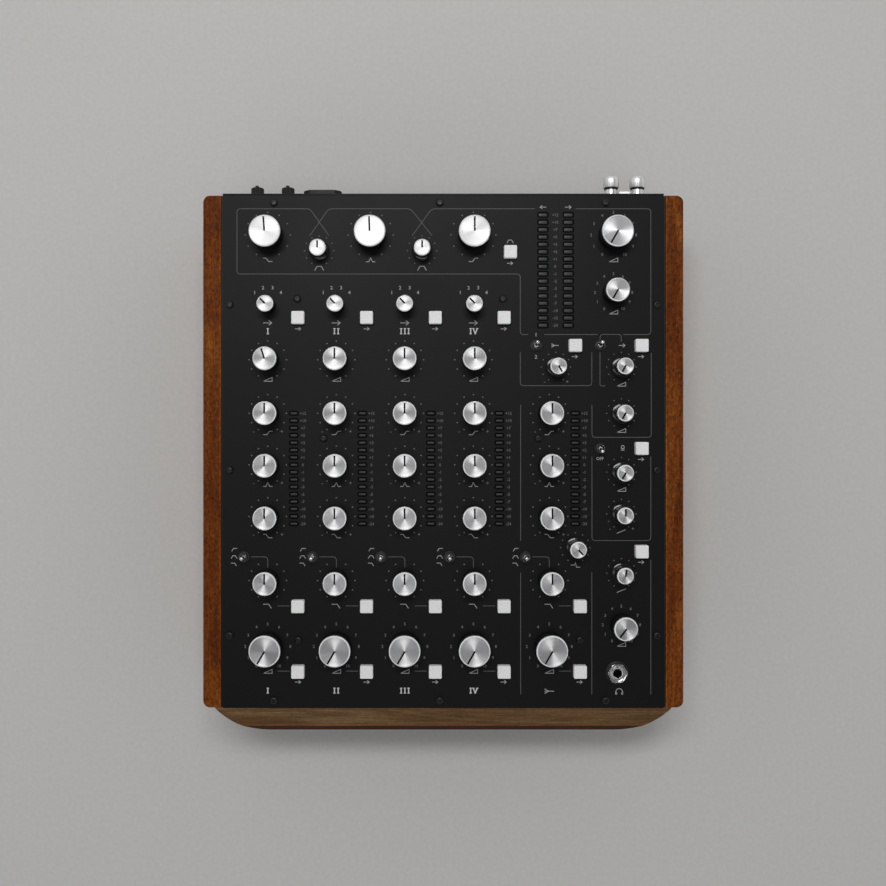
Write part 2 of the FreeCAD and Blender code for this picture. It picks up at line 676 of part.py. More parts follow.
def case_tray():
    """Folded steel tray: floor with vents, front and side walls with inward flanges."""
    outer = box(-case_half, case_half, front_edge, rear_inside, floor_z, panel_under)
    cavity = box(-case_half + SHEET, case_half - SHEET, front_edge + SHEET, rear_edge,
                 floor_z + SHEET, panel_under - SHEET)
    mouth = box(-case_half + FLANGE_WIDTH, case_half - FLANGE_WIDTH, front_edge + FLANGE_WIDTH, rear_edge,
                floor_z + SHEET, panel_under)
    rear_corner = box(-case_half + SHEET, case_half - SHEET, rear_edge - FLANGE_WIDTH - FLANGE_GAP, rear_edge,
                      floor_z + SHEET, panel_under)
    tray = outer.cut([cavity, mouth, rear_corner])
    cuts = [post(x, y, panel_under - SHEET, panel_under, SCREW_SHANK / 2 + THREAD_CLEARANCE)
            for x, y in edge_screw_places()]
    wood_hole_r = WOOD_SCREW_SHANK / 2 + HOLE_CLEARANCE
    for side, y, z in cheek_screw_places():
        cuts.append(Part.makeCylinder(wood_hole_r, SHEET, V(side * case_half, y, z), V(-side, 0, 0)))
    cuts += [rod(x, z, front_edge, front_edge + SHEET, wood_hole_r) for x, z in rail_screw_places()]
    cuts += [post(x, y, floor_z, floor_z + SHEET, WOOD_SCREW_SHANK / 2 + THREAD_CLEARANCE)
             for x, y in foot_places()]
    for side in (-1, 1):
        for i in range(VENT_COUNT):
            y = middle_y + (i - (VENT_COUNT - 1) / 2) * VENT_PITCH
            slot = rounded_outline(side * VENT_ASIDE, y, VENT_LENGTH, VENT_WIDTH, VENT_CORNER, floor_z)
            cuts.append(Part.Face(slot).extrude(UP * SHEET))
    return tray.cut(cuts)


def rear_plate():
    """Rear plate of the case with its flange and the socket cut-outs."""
    plate = box(-case_half, case_half, rear_inside, rear_edge, floor_z, panel_under)
    flange = box(-case_half + SHEET, case_half - SHEET, rear_edge - FLANGE_WIDTH, rear_inside,
                 panel_under - SHEET, panel_under)
    cuts = [post(x, y, panel_under - SHEET, panel_under, SCREW_SHANK / 2 + THREAD_CLEARANCE)
            for x, y in edge_screw_places()]
    rounds = [(x, z, PIN_SOCKET_BOSS / 2) for x, z in pin_socket_places()]
    rounds += [(x, z, PLUG_SOCKET_BUSH / 2) for x, z in plug_socket_places()]
    rounds += [(x, z, BALANCED_SHELL / 2) for x, z in balanced_places()]
    rounds.append((MIC_SOCKET_PLACE, balanced_z(), BALANCED_SHELL / 2))
    rounds += [(x, upper_row_z, FUSE_BODY / 2) for x in fuse_places()]
    rounds += [(x, upper_row_z, POST_STUD / 2) for x in ground_post_places()]
    cuts += [rod(x, z, rear_inside, rear_edge, r + HOLE_CLEARANCE) for x, z, r in rounds]
    inlet_gap = 2 * HOLE_CLEARANCE
    cuts.append(rear_block(MAINS_INLET_PLACE, upper_row_z, MAINS_SHROUD_WIDTH + inlet_gap,
                           MAINS_SHROUD_HEIGHT + inlet_gap, rear_inside, rear_edge))
    return plate.fuse(flange).cut(cuts)


def fuse_places():
    """Places of the two fuse holders along the rear plate."""
    return [FUSE_FIRST, FUSE_FIRST + FUSE_PITCH]


def ground_post_places():
    """Places of the two ground posts along the rear plate."""
    return [POST_FIRST, POST_FIRST + POST_PITCH]


def cheek_screw_places():
    """Screws from inside the case into the cheeks, as side, y and z."""
    heights = (floor_z + CHEEK_SCREW_EDGE, panel_under - CHEEK_SCREW_EDGE - POT_HEIGHT)
    return [(side, y, z) for side in (-1, 1) for z in heights
            for y in (front_edge + CHEEK_SCREW_INSET, rear_edge - CHEEK_SCREW_INSET)]


def rail_screw_places():
    """Screws from inside the case into the front rail, as x and z."""
    return [(i * RAIL_SCREW_PITCH, panel_top - RAIL_SCREW_DROP) for i in (-1, 0, 1)]


def cheek(side):
    """Wooden end cheek with rounded outer corners and an eased top edge."""
    inner, outer = case_half, case_half + CHEEK_THICKNESS
    c = CHEEK_CORNER
    slant = c * (1 - math.sqrt(0.5))
    base = floor_z - CHEEK_GROUND_GAP
    outline = [
        Part.LineSegment(V(inner, front_edge, base), V(outer - c, front_edge, base)),
        Part.Arc(V(outer - c, front_edge, base), V(outer - slant, front_edge + slant, base),
                 V(outer, front_edge + c, base)),
        Part.LineSegment(V(outer, front_edge + c, base), V(outer, rear_edge - c, base)),
        Part.Arc(V(outer, rear_edge - c, base), V(outer - slant, rear_edge - slant, base),
                 V(outer - c, rear_edge, base)),
        Part.LineSegment(V(outer - c, rear_edge, base), V(inner, rear_edge, base)),
        Part.LineSegment(V(inner, rear_edge, base), V(inner, front_edge, base)),
    ]
    top = panel_top + CHEEK_RISE
    slab = Part.Face(Part.Wire([e.toShape() for e in outline])).extrude(UP * (top - base))
    rim = [e for e in slab.Edges if min(v.Z for v in e.Vertexes) > top - CHEEK_RISE
           and max(v.X for v in e.Vertexes) > inner + CHEEK_EDGE]
    slab = slab.makeFillet(min(CHEEK_EDGE, CHEEK_CORNER / 2), rim)
    if side < 0:
        slab = slab.mirror(V(0, 0, 0), V(1, 0, 0))
    pilots = [Part.makeCylinder(WOOD_SCREW_SHANK / 2 + SEAT_CLEARANCE, WOOD_SCREW_LENGTH,
                                V(side * (case_half - SHEET), y, z), V(side, 0, 0))
              for s, y, z in cheek_screw_places() if s == side]
    return slab.cut(pilots)


def front_rail():
    """Wooden rail along the front: a sloping top, a steeper nose and long rounded corners in plan."""
    top = panel_top - RAIL_TOP_DROP
    base = floor_z + RAIL_BASE_RISE
    shoulder_z = panel_top - RAIL_SHOULDER_DROP
    nose_z = panel_top - RAIL_NOSE_DROP
    half = case_half + CHEEK_THICKNESS - RAIL_END_INSET
    section = [(0, base), (RAIL_REACH - RAIL_UNDERCUT, base), (RAIL_REACH, base + RAIL_UNDERCUT),
               (RAIL_REACH, nose_z), (RAIL_SHOULDER_REACH, shoulder_z), (RAIL_LIP, top), (0, top)]
    points = [V(-half, front_edge - out, z) for out, z in section]
    bar = Part.Face(Part.makePolygon(points + points[:1])).extrude(V(2 * half, 0, 0))
    corner_x = half - math.sqrt(RAIL_CORNER_RADIUS ** 2 - (RAIL_CORNER_RADIUS - RAIL_REACH) ** 2)
    nose_y = front_edge - RAIL_REACH
    turn = math.acos(1 - RAIL_REACH / RAIL_CORNER_RADIUS) / 2
    arc_out = RAIL_CORNER_RADIUS * math.sin(turn)
    arc_up = RAIL_CORNER_RADIUS * (1 - math.cos(turn))
    plan = [
        Part.LineSegment(V(-half, front_edge, base), V(half, front_edge, base)),
        Part.Arc(V(half, front_edge, base), V(corner_x + arc_out, nose_y + arc_up, base),
                 V(corner_x, nose_y, base)),
        Part.LineSegment(V(corner_x, nose_y, base), V(-corner_x, nose_y, base)),
        Part.Arc(V(-corner_x, nose_y, base), V(-corner_x - arc_out, nose_y + arc_up, base),
                 V(-half, front_edge, base)),
    ]
    footprint = Part.Face(Part.Wire([e.toShape() for e in plan])).extrude(UP * (top - base))
    ridge = [e for e in bar.Edges if e.BoundBox.XLength > half and e.BoundBox.YMax < front_edge - RAIL_LIP
             and e.BoundBox.ZMin > nose_z - RAIL_EDGE]
    bar = bar.makeFillet(RAIL_EDGE, ridge)
    pilots = [rod(x, z, front_edge - WOOD_SCREW_LENGTH + SHEET, front_edge,
                  WOOD_SCREW_SHANK / 2 + SEAT_CLEARANCE) for x, z in rail_screw_places()]
    return bar.common(footprint).cut(pilots)


def foot(x, y):
    """Round rubber foot with an eased edge and a recess for its screw."""
    r = FOOT_DIAMETER / 2
    recess_r = FOOT_RECESS_DIAMETER / 2
    hole_r = WOOD_SCREW_SHANK / 2 + HOLE_CLEARANCE
    points = [(recess_r, 0), (r - FOOT_EDGE, 0), (r, FOOT_EDGE), (r, FOOT_HEIGHT), (hole_r, FOOT_HEIGHT),
              (hole_r, FOOT_RECESS_DEPTH), (recess_r, FOOT_RECESS_DEPTH)]
    return turned(points, V(x, y, 0), UP, V(1, 0, 0))


def panel_screw(x, y, length):
    """Button-head screw with a hexagon socket."""
    shank = post(x, y, panel_top - length, panel_top, SCREW_SHANK / 2)
    seat = V(x, y, panel_top)
    crown = seat + UP * SCREW_HEAD_HEIGHT
    rim = seat + V(SCREW_HEAD / 2, 0, 0)
    brow = crown + V(SCREW_CROWN / 2, 0, 0)
    slope = brow - rim
    outward = V(slope.z, 0, -slope.x).normalize()
    dome = (rim + brow) / 2 + outward * SCREW_BULGE
    profile = [Part.LineSegment(seat, rim), Part.Arc(rim, dome, brow), Part.LineSegment(brow, crown),
               Part.LineSegment(crown, seat)]
    head = Part.Face(Part.Wire([e.toShape() for e in profile])).revolve(V(x, y, 0), UP, 360)
    socket = hexagon(x, y, SCREW_SOCKET, panel_top + SCREW_HEAD_HEIGHT - SCREW_SOCKET_DEPTH,
                     panel_top + SCREW_HEAD_HEIGHT)
    return head.fuse(shank).cut(socket)


def wood_screw(seat, direction):
    """Pan-head screw whose head bears at seat and whose shank points along direction."""
    head = Part.makeCylinder(WOOD_SCREW_HEAD / 2, WOOD_SCREW_HEAD_HEIGHT, seat, direction * -1)
    shank = Part.makeCylinder(WOOD_SCREW_SHANK / 2, WOOD_SCREW_LENGTH, seat, direction)
    return head.fuse(shank)


def fasteners():
    """Panel screws, board screws, toggle nuts, wood screws and foot screws."""
    solids = [panel_screw(x, y, SCREW_LENGTH) for x, y in edge_screw_places() + board_screw_places()]
    solids += [toggle_nut(x, y) for x, y in toggle_places()]
    for side, y, z in cheek_screw_places():
        solids.append(wood_screw(V(side * (case_half - SHEET), y, z), V(side, 0, 0)))
    for x, z in rail_screw_places():
        solids.append(wood_screw(V(x, front_edge + SHEET, z), V(0, -1, 0)))
    solids += [wood_screw(V(x, y, FOOT_RECESS_DEPTH), UP) for x, y in foot_places()]
    return solids


def control_board():
    """Main board below the faceplate, cut away round the phones socket."""
    side = case_half - FLANGE_WIDTH - BOARD_SIDE_GAP
    front = front_edge + FLANGE_WIDTH + BOARD_SIDE_GAP
    rear = rear_edge - FLANGE_WIDTH - BOARD_SIDE_GAP
    under = board_top - BOARD_THICKNESS
    board = box(-side, side, front, rear, under, board_top)
    corner = box(case_half - JACK_CORNER_WIDTH - FLANGE_WIDTH, case_half, front_edge,
                 front_edge + JACK_CORNER_DEPTH, under, board_top)
    holes = [post(x, y, under, board_top, SCREW_SHANK / 2 + HOLE_CLEARANCE) for x, y in board_screw_places()]
    return board.cut([corner] + holes)


def spacer(x, y):
    """Tubular spacer from the control board to the faceplate."""
    tube = post(x, y, board_top, panel_under, SPACER_DIAMETER / 2)
    return tube.cut(post(x, y, board_top, panel_under, SCREW_SHANK / 2 + THREAD_CLEARANCE))


def jack_board():
    """Upright board that carries the rear signal sockets."""
    front = rear_inside - JACK_BOARD_DEPTH - BOARD_THICKNESS
    rows_top = lower_row_z + SOCKET_ROW_PITCH + JACK_BOARD_EDGE
    right = PIN_SOCKET_FIRST + (PIN_SOCKET_COLUMNS - 1) * PIN_SOCKET_PITCH + JACK_BOARD_EDGE
    left = MIC_SOCKET_PLACE - BALANCED_SHELL / 2
    return box(left, right, front, front + BOARD_THICKNESS, floor_z + SHEET, rows_top)


def power_supply():
    """Power board on spacers, with a ring transformer and smoothing capacitors."""
    y = middle_y + POWER_BOARD_FORWARD
    under = floor_z + SHEET + POWER_BOARD_RISE
    top = under + BOARD_THICKNESS
    board = upright_block(0, y, POWER_BOARD_WIDTH, POWER_BOARD_DEPTH, under, top)
    spacer_x = POWER_BOARD_WIDTH / 2 - POWER_BOARD_SPACER_INSET
    spacer_y = POWER_BOARD_DEPTH / 2 - POWER_BOARD_SPACER_INSET
    solids = [board]
    for sx in (-1, 1):
        for sy in (-1, 1):
            solids.append(post(sx * spacer_x, y + sy * spacer_y, floor_z + SHEET, under, SPACER_DIAMETER / 2))
    ring = post(-COMPONENT_ASIDE, y, top, top + TRANSFORMER_HEIGHT, TRANSFORMER_DIAMETER / 2)
    solids.append(ring.cut(post(-COMPONENT_ASIDE, y, top, top + TRANSFORMER_HEIGHT, TRANSFORMER_HOLE / 2)))
    for i in (-1, 0, 1):
        solids.append(post(COMPONENT_ASIDE, y + i * CAPACITOR_PITCH, top, top + CAPACITOR_HEIGHT,
                           CAPACITOR_DIAMETER / 2))
    return solids


def circuit_boards():
    """Everything electronic inside the case, as separate solids."""
    solids = [control_board(), jack_board()]
    solids += [potentiometer(k) for k in knob_layout()]
    solids += [switch_body(x, y) for x, y in button_places()]
    solids += [toggle_body(x, y) for x, y in toggle_places()]
    solids += [meter_bar(*column) for column in meter_columns()]
    solids += [spacer(x, y) for x, y in board_screw_places()]
    return solids + power_supply()


def phones_socket():
    """Plug socket through the faceplate, with its washer and hexagon nut."""
    x, y = phones_place()
    body = upright_block(x, y, PHONES_BODY, PHONES_BODY, panel_under - PHONES_BODY_DEPTH, panel_under)
    bush_top = panel_top + PHONES_BUSH_RISE
    bush = post(x, y, panel_under, bush_top, PHONES_BUSH / 2)
    bore = post(x, y, bush_top - PLUG_DEPTH, bush_top, PLUG_BORE / 2)
    thread_r = PHONES_BUSH / 2 + THREAD_CLEARANCE
    washer_top = panel_top + PHONES_WASHER_HEIGHT
    nut_top = washer_top + PHONES_NUT_HEIGHT
    washer = post(x, y, panel_top, washer_top, PHONES_WASHER / 2)
    nut = hexagon(x, y, PHONES_NUT, washer_top, nut_top)
    thread = post(x, y, panel_top, nut_top, thread_r)
    return [body.fuse(bush).cut(bore), washer.cut(thread), nut.cut(thread)]


def pin_socket(x, z):
    """Phono socket: a housing behind the plate and a bright barrel outside it."""
    housing = rear_block(x, z, PIN_SOCKET_BODY, PIN_SOCKET_BODY, rear_inside - JACK_BOARD_DEPTH, rear_inside)
    boss_end = rear_edge + PIN_SOCKET_BOSS_REACH
    tip = boss_end + PIN_SOCKET_REACH
    boss = rod(x, z, rear_inside, boss_end, PIN_SOCKET_BOSS / 2)
    r = PIN_SOCKET_DIAMETER / 2
    c = PIN_SOCKET_CHAMFER
    barrel = turned([(0, boss_end), (r, boss_end), (r, tip - c), (r - c, tip), (0, tip)],
                    V(x, 0, z), REARWARD, V(1, 0, 0))
    hole = rod(x, z, tip - PIN_SOCKET_HOLE_DEPTH, tip, PIN_SOCKET_HOLE / 2)
    return housing.fuse([boss, barrel]).cut(hole)


def plug_socket(x, z):
    """Rear plug socket with a threaded bush, and its round nut."""
    back = rear_inside - JACK_BOARD_DEPTH
    housing = rear_block(x, z, PLUG_SOCKET_BODY, PLUG_SOCKET_BODY, back, rear_inside)
    bush_end = rear_edge + PLUG_SOCKET_REACH
    bush = rod(x, z, rear_inside, bush_end, PLUG_SOCKET_BUSH / 2)
    bore_floor = back + SHEET
    socket = housing.fuse(bush).cut(rod(x, z, bore_floor, bush_end, PLUG_BORE / 2))
    nut_end = rear_edge + PLUG_SOCKET_NUT_HEIGHT
    nut = rod(x, z, rear_edge, nut_end, PLUG_SOCKET_NUT / 2)
    return [socket, nut.cut(rod(x, z, rear_edge, nut_end, PLUG_SOCKET_BUSH / 2 + THREAD_CLEARANCE))]


def balanced_shell(x, z):
    """Round shell through the rear plate with a rounded flange outside."""
    shell = rod(x, z, rear_inside - JACK_BOARD_DEPTH, rear_edge + BALANCED_FLANGE, BALANCED_SHELL / 2)
    flange = Part.Face(rounded_outline(x, 0, BALANCED_FLANGE_WIDTH, BALANCED_FLANGE_HEIGHT,
                                       BALANCED_FLANGE_CORNER, 0)).extrude(UP * BALANCED_FLANGE)
    flange.rotate(V(x, 0, 0), V(1, 0, 0), -90)
    flange.translate(V(0, rear_edge, z))
    return shell.fuse(flange)


def contact_places(x, z):
    """Three contacts on a circle, one of them at the bottom."""
    return [(x + CONTACT_RING * math.sin(math.radians(a)), z - CONTACT_RING * math.cos(math.radians(a)))
            for a in (0, CONTACT_SPREAD, -CONTACT_SPREAD)]


def balanced_output(x, z):
    """Three-pin output: a shell with a stepped cup, the insert that closes it and the contacts."""
    mouth = rear_edge + BALANCED_FLANGE
    back = rear_inside - JACK_BOARD_DEPTH
    insert_face = mouth - BALANCED_CUP_DEPTH
    inner_r = BALANCED_CUP / 2 - BALANCED_STEP
    shell = balanced_shell(x, z).cut([rod(x, z, mouth - balanced_mouth_depth, mouth, BALANCED_CUP / 2),
                                      rod(x, z, back, mouth, inner_r)])
    places = contact_places(x, z)
    contact_r = CONTACT_DIAMETER / 2
    insert = rod(x, z, back, insert_face, inner_r - SEAT_CLEARANCE)
    insert = insert.cut([rod(px, pz, back, insert_face, contact_r + SEAT_CLEARANCE) for px, pz in places])
    contacts = [rod(px, pz, back, insert_face + CONTACT_LENGTH, contact_r) for px, pz in places]
    return [shell, insert] + contacts


def mic_socket():
    """Microphone plug socket in a round shell with a flange."""
    x, z = MIC_SOCKET_PLACE, balanced_z()
    bore = rod(x, z, rear_inside - JACK_BOARD_DEPTH + SHEET, rear_edge + BALANCED_FLANGE, PLUG_BORE / 2)
    return balanced_shell(x, z).cut(bore)


def mains_inlet():
    """Mains inlet: a bevelled shroud round a deep cavity with three blades."""
    x, z = MAINS_INLET_PLACE, upper_row_z
    mouth = rear_edge + MAINS_SHROUD_REACH
    w, h, b = MAINS_SHROUD_WIDTH / 2, MAINS_SHROUD_HEIGHT / 2, MAINS_SHROUD_BEVEL

    def bevelled(inset, y0, y1):
        half, tall = w - inset, h - inset
        corners = [(-half, -tall), (half, -tall), (half, tall - b), (half - b, tall), (b - half, tall),
                   (-half, tall - b)]
        ring = [V(x + cx, y0, z + cz) for cx, cz in corners]
        return Part.Face(Part.makePolygon(ring + ring[:1])).extrude(REARWARD * (y1 - y0))

    floor = mouth - MAINS_CAVITY_DEPTH
    shell = bevelled(0, mouth - MAINS_DEPTH, mouth).cut(bevelled(MAINS_WALL, floor, mouth))
    blades = [rear_block(x + i * BLADE_PITCH, z + (BLADE_STEP if i == 0 else -BLADE_STEP), BLADE_WIDTH,
                         BLADE_HEIGHT, floor, floor + BLADE_LENGTH) for i in (-1, 0, 1)]
    return shell.fuse(blades)


def fuse_holder(x):
    """Fuse holder: a body behind the plate, a collar and a round cap with a finger grip."""
    z = upper_row_z
    body = rod(x, z, rear_inside - FUSE_BODY_DEPTH, rear_edge, FUSE_BODY / 2)
    collar_end = rear_edge + FUSE_COLLAR_REACH
    collar = rod(x, z, rear_edge, collar_end, FUSE_COLLAR / 2)
    cap = rod(x, z, collar_end, rear_edge + FUSE_REACH, FUSE_DIAMETER / 2)
    grip = rear_block(x, z, FUSE_GRIP_WIDTH, FUSE_GRIP_LENGTH, rear_edge + FUSE_REACH,
                      rear_edge + FUSE_REACH + FUSE_GRIP_REACH)
    return [body.fuse(collar), cap.fuse(grip)]


def ground_post(x):
    """Ground post: a stud with its base, an insulating ring and a domed thumb cap."""
    z = upper_row_z
    base = V(x, 0, z)
    across = V(1, 0, 0)
    cap_start = rear_edge + POST_REACH - POST_CAP_LENGTH
    ring_start = cap_start - POST_RING_LENGTH
    stud_r, ring_r, cap_r = POST_STUD / 2, POST_RING / 2, POST_CAP / 2
    neck_r = POST_NECK / 2
    stud = turned([(0, rear_inside - POST_STUD_DEPTH), (stud_r, rear_inside - POST_STUD_DEPTH),
                   (stud_r, rear_edge), (neck_r, rear_edge), (neck_r, ring_start), (0, ring_start)],
                  base, REARWARD, across)
    ring = rod(x, z, ring_start, cap_start, ring_r)
    end = rear_edge + POST_REACH
    cap = turned([(0, cap_start), (cap_r, cap_start), (cap_r, end - POST_DOME), (cap_r - POST_DOME, end),
                  (0, end)], base, REARWARD, across)
    return [stud, ring, cap]


def ground_link():
    """Bright tab on the rear plate between the two ground posts."""
    x = POST_FIRST + POST_PITCH / 2
    return box(x - POST_LINK_WIDTH / 2, x + POST_LINK_WIDTH / 2, rear_edge, rear_edge + POST_LINK_REACH,
               upper_row_z, upper_row_z + POST_LINK_THICKNESS)


def sockets():
    """Phones socket on the faceplate and all sockets of the rear plate."""
    solids = phones_socket()
    solids += [pin_socket(x, z) for x, z in pin_socket_places()]
    for x, z in plug_socket_places():
        solids += plug_socket(x, z)
    for x, z in balanced_places():
        solids += balanced_output(x, z)
    solids += [mic_socket(), mains_inlet(), ground_link()]
    for x in fuse_places():
        solids += fuse_holder(x)
    for x in ground_post_places():
        solids += ground_post(x)
    return solids


def nodes():
    """Every sub-part by name, as a list of solids."""
    parts = {
        "top_panel": [top_panel()],
        "steel_case": [case_tray(), rear_plate()],
        "side_cheeks": [cheek(-1), cheek(1)],
        "front_rail": [front_rail()],
        "rubber_feet": [foot(x, y) for x, y in foot_places()],
        "fasteners": fasteners(),
        "circuit_boards": circuit_boards(),
        "sockets": sockets(),
        "push_buttons": [button_solid(x, y) for x, y in button_places()],
    }
    for name, (places, lean) in toggle_groups().items():
        parts[name] = [toggle_lever(x, y, lean) for x, y in places]
    for knob in knob_layout():
        parts[knob.name] = knob_solids(knob)
    return parts


def main():
    """Write one file for each sub-part."""
    os.makedirs("parts", exist_ok=True)
    for name, solids in nodes().items():
        Part.makeCompound(solids).exportStep("parts/%s.step" % name)


if __name__ == "__main__":
    main()
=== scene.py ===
import json
import math
import bmesh
import bpy
import numpy as np
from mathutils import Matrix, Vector


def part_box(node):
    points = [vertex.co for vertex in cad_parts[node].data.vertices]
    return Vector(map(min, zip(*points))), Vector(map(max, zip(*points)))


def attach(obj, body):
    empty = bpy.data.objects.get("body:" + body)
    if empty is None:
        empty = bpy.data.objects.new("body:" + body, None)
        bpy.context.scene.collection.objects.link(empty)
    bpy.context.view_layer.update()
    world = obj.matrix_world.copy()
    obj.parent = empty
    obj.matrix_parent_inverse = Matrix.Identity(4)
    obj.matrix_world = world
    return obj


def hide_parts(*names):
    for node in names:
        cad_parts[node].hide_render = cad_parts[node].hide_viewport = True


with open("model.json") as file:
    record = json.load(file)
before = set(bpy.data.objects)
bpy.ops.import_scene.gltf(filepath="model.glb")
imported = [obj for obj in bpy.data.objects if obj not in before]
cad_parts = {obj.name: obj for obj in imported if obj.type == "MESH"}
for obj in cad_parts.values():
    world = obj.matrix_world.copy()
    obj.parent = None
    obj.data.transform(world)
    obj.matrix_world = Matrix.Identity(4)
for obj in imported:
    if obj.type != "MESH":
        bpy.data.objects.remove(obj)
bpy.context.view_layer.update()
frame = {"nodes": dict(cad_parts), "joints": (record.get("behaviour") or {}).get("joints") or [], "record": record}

# Sizes are metres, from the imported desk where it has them; profiles, levels and block sizes are millimetres
MM = 0.001
TAU = 2 * math.pi
MERGE = 0.0005 * MM
panel_low, panel_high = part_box("top_panel")
PANEL_TOP = panel_high.z
PANEL_MIDDLE = ((panel_low.x + panel_high.x) / 2, (panel_low.y + panel_high.y) / 2)
REAR_EDGE = panel_high.y

# Places of the knobs, from their turning axes
knob_axes = {j["child"]: j for j in frame["joints"] if j["name"].endswith("_turn")}
STRIPS = ["channel_1", "channel_2", "channel_3", "channel_4", "submix"]


def knob_place(name):
    """Centre of a knob on the panel as x, y in metres."""
    return tuple(knob_axes[name]["pos_m"][:2])


strip_x = [knob_place(s + "_mix_knob")[0] for s in STRIPS]
isolator_y = knob_place("isolator_low_knob")[1]
ROWS = ("source", "gain", "treble", "middle", "filter", "mix")
row_y = [knob_place("channel_1_" + row + "_knob")[1] for row in ROWS]
source_y, gain_y, treble_y, middle_y, filter_y, mix_y = row_y
output_x = knob_place("mic_gain_knob")[0]

# Controls beside the knob rows, as steps from them
BUTTON_ASIDE = 22.0 * MM
SOURCE_BUTTON_Y = source_y - 9.0 * MM
FILTER_BUTTON_DROP = 18.4 * MM
FILTER_BUTTON_Y = filter_y - FILTER_BUTTON_DROP
MIX_BUTTON_Y = mix_y - 17.9 * MM
ISOLATOR_BUTTON_X = strip_x[3] + 26.6 * MM
ISOLATOR_BUTTON_Y = isolator_y - 12.6 * MM
LOOP_BUTTON_X = strip_x[4] + 18.6 * MM
OUTPUT_BUTTON_X = output_x + 14.3 * MM
PHONES_BUTTON_Y = filter_y + 21.1 * MM
ROUTING_Y = gain_y + 10.1 * MM
MIC_Y = middle_y + 11.9 * MM
LEVER_ASIDE = 17.3 * MM
LEVER_Y = filter_y + 17.1 * MM
LOOP_LEVER_X = strip_x[4] - 9.6 * MM
OUTPUT_LEVER_X = output_x - 15.5 * MM
METER_SEGMENTS = 16
METER_PITCH = 5.33 * MM
CHANNEL_METER_ASIDE = 18.8 * MM
MAIN_METER_X = (strip_x[4] - 4.6 * MM, strip_x[4] + 13.8 * MM)
MAIN_METER_Y = isolator_y + 14.5 * MM


# Mesh helpers

def loft(rings, start_pole=None, end_pole=None):
    """Skin over closed rings: quads between neighbouring rings, and a fan to each pole.

    rings is an array of rings by points by xyz; every ring has the same number of points."""
    rings = np.asarray(rings, float)
    count, around = rings.shape[:2]
    verts = rings.reshape(-1, 3)
    i = np.arange(count - 1)[:, None] * around
    j = np.arange(around)[None, :]
    k = (j + 1) % around
    quads = np.stack([i + j, i + k, i + around + k, i + around + j], -1).reshape(-1, 4)
    faces = quads.tolist()
    for pole, row, turn in ((start_pole, 0, -1), (end_pole, count - 1, 1)):
        if pole is None:
            continue
        verts = np.vstack([verts, pole])
        tip = np.full(around, len(verts) - 1)
        base = row * around + np.arange(around)
        after = row * around + (np.arange(around) + 1) % around
        faces += np.stack([base, after, tip][::turn], -1).tolist()
    return verts, faces


def lathe(profile, around=64, centre=(0, 0, 0), flutes=0):
    """Body turned about an upright axis: (radius, height, flute depth) points swept round a circle.

    The radius at angle a is less by depth times half of 1 - cos(flutes * a).
    Ends at radius 0 become poles."""
    profile = np.asarray([tuple(p) + (0,) * (3 - len(p)) for p in profile], float)
    start = profile[0] if profile[0, 0] == 0 else None
    end = profile[-1] if profile[-1, 0] == 0 else None
    rows = profile[profile[:, 0] > 0]
    a = np.arange(around) * TAU / around
    scoop = 0.5 - 0.5 * np.cos(flutes * a)
    r = rows[:, :1] - rows[:, 2:] * scoop
    ring = np.stack([r * np.cos(a), r * np.sin(a), np.repeat(rows[:, 1:2], around, 1)], -1) + centre
    pole = [None if p is None else np.add((0, 0, p[1]), centre) for p in (start, end)]
    return loft(ring, *pole)


def box_shell(low, high):
    """Plain block between two corners."""
    x, y, z = zip(low, high)
    verts = np.array([(x[i], y[j], z[k]) for k in (0, 1) for j in (0, 1) for i in (0, 1)])
    faces = [[0, 2, 3, 1], [4, 5, 7, 6], [0, 1, 5, 4], [2, 6, 7, 3], [0, 4, 6, 2], [1, 3, 7, 5]]
    return verts, faces


def turn_shell(shell, angle, centre=(0, 0)):
    """A shell turned about an upright axis by an angle, clockwise seen from above."""
    verts, faces = shell
    c, s = math.cos(-angle), math.sin(-angle)
    flat = verts[:, :2] - centre
    turned = np.stack([flat[:, 0] * c - flat[:, 1] * s, flat[:, 0] * s + flat[:, 1] * c], -1) + centre
    return np.column_stack([turned, verts[:, 2]]), faces


def move_shell(shell, step):
    """A shell moved by a step."""
    return shell[0] + np.asarray(step), shell[1]


def lay_rearward(shell, centre):
    """A shell made along +Z, laid so that its axis points to the rear, at centre."""
    verts, faces = shell
    return np.stack([verts[:, 0], verts[:, 2], -verts[:, 1]], -1) + centre, faces


def unit_circle(angle):
    """Points of a unit circle at the given angles."""
    return np.stack([np.cos(angle), np.sin(angle)], -1)


def raised(flat, height):
    """Flat points lifted to a height."""
    return np.column_stack([flat, np.full(len(flat), height)])


def rounded_square(half_x, half_y, corner, steps=5):
    """Outline of a rectangle with rounded corners: four quarter circles joined by straight runs."""
    a = np.linspace(0, math.pi / 2, steps)
    signs = np.array([(1, 1), (-1, 1), (-1, -1), (1, -1)])
    arcs = unit_circle(np.arange(4)[:, None] * math.pi / 2 + a) * corner
    centres = signs[:, None, :] * np.array([half_x - corner, half_y - corner])
    return (arcs + centres).reshape(-1, 2)


def rectangle_at(bearing, half_x, half_y, corner):
    """Rounded rectangle at given bearings: the distance to the nearer side, or to the corner's circle."""
    c, s = np.abs(np.cos(bearing)), np.abs(np.sin(bearing))
    side = 1 / np.maximum(c / half_x, s / half_y)
    hub_x, hub_y = half_x - corner, half_y - corner
    along = c * hub_x + s * hub_y
    bend = along + np.sqrt(np.maximum(along ** 2 - hub_x ** 2 - hub_y ** 2 + corner ** 2, 0))
    distance = np.where((side * c > hub_x) & (side * s > hub_y), bend, side)
    return unit_circle(bearing) * distance[:, None]


SHORT_SIDE_SHARE = 0.45


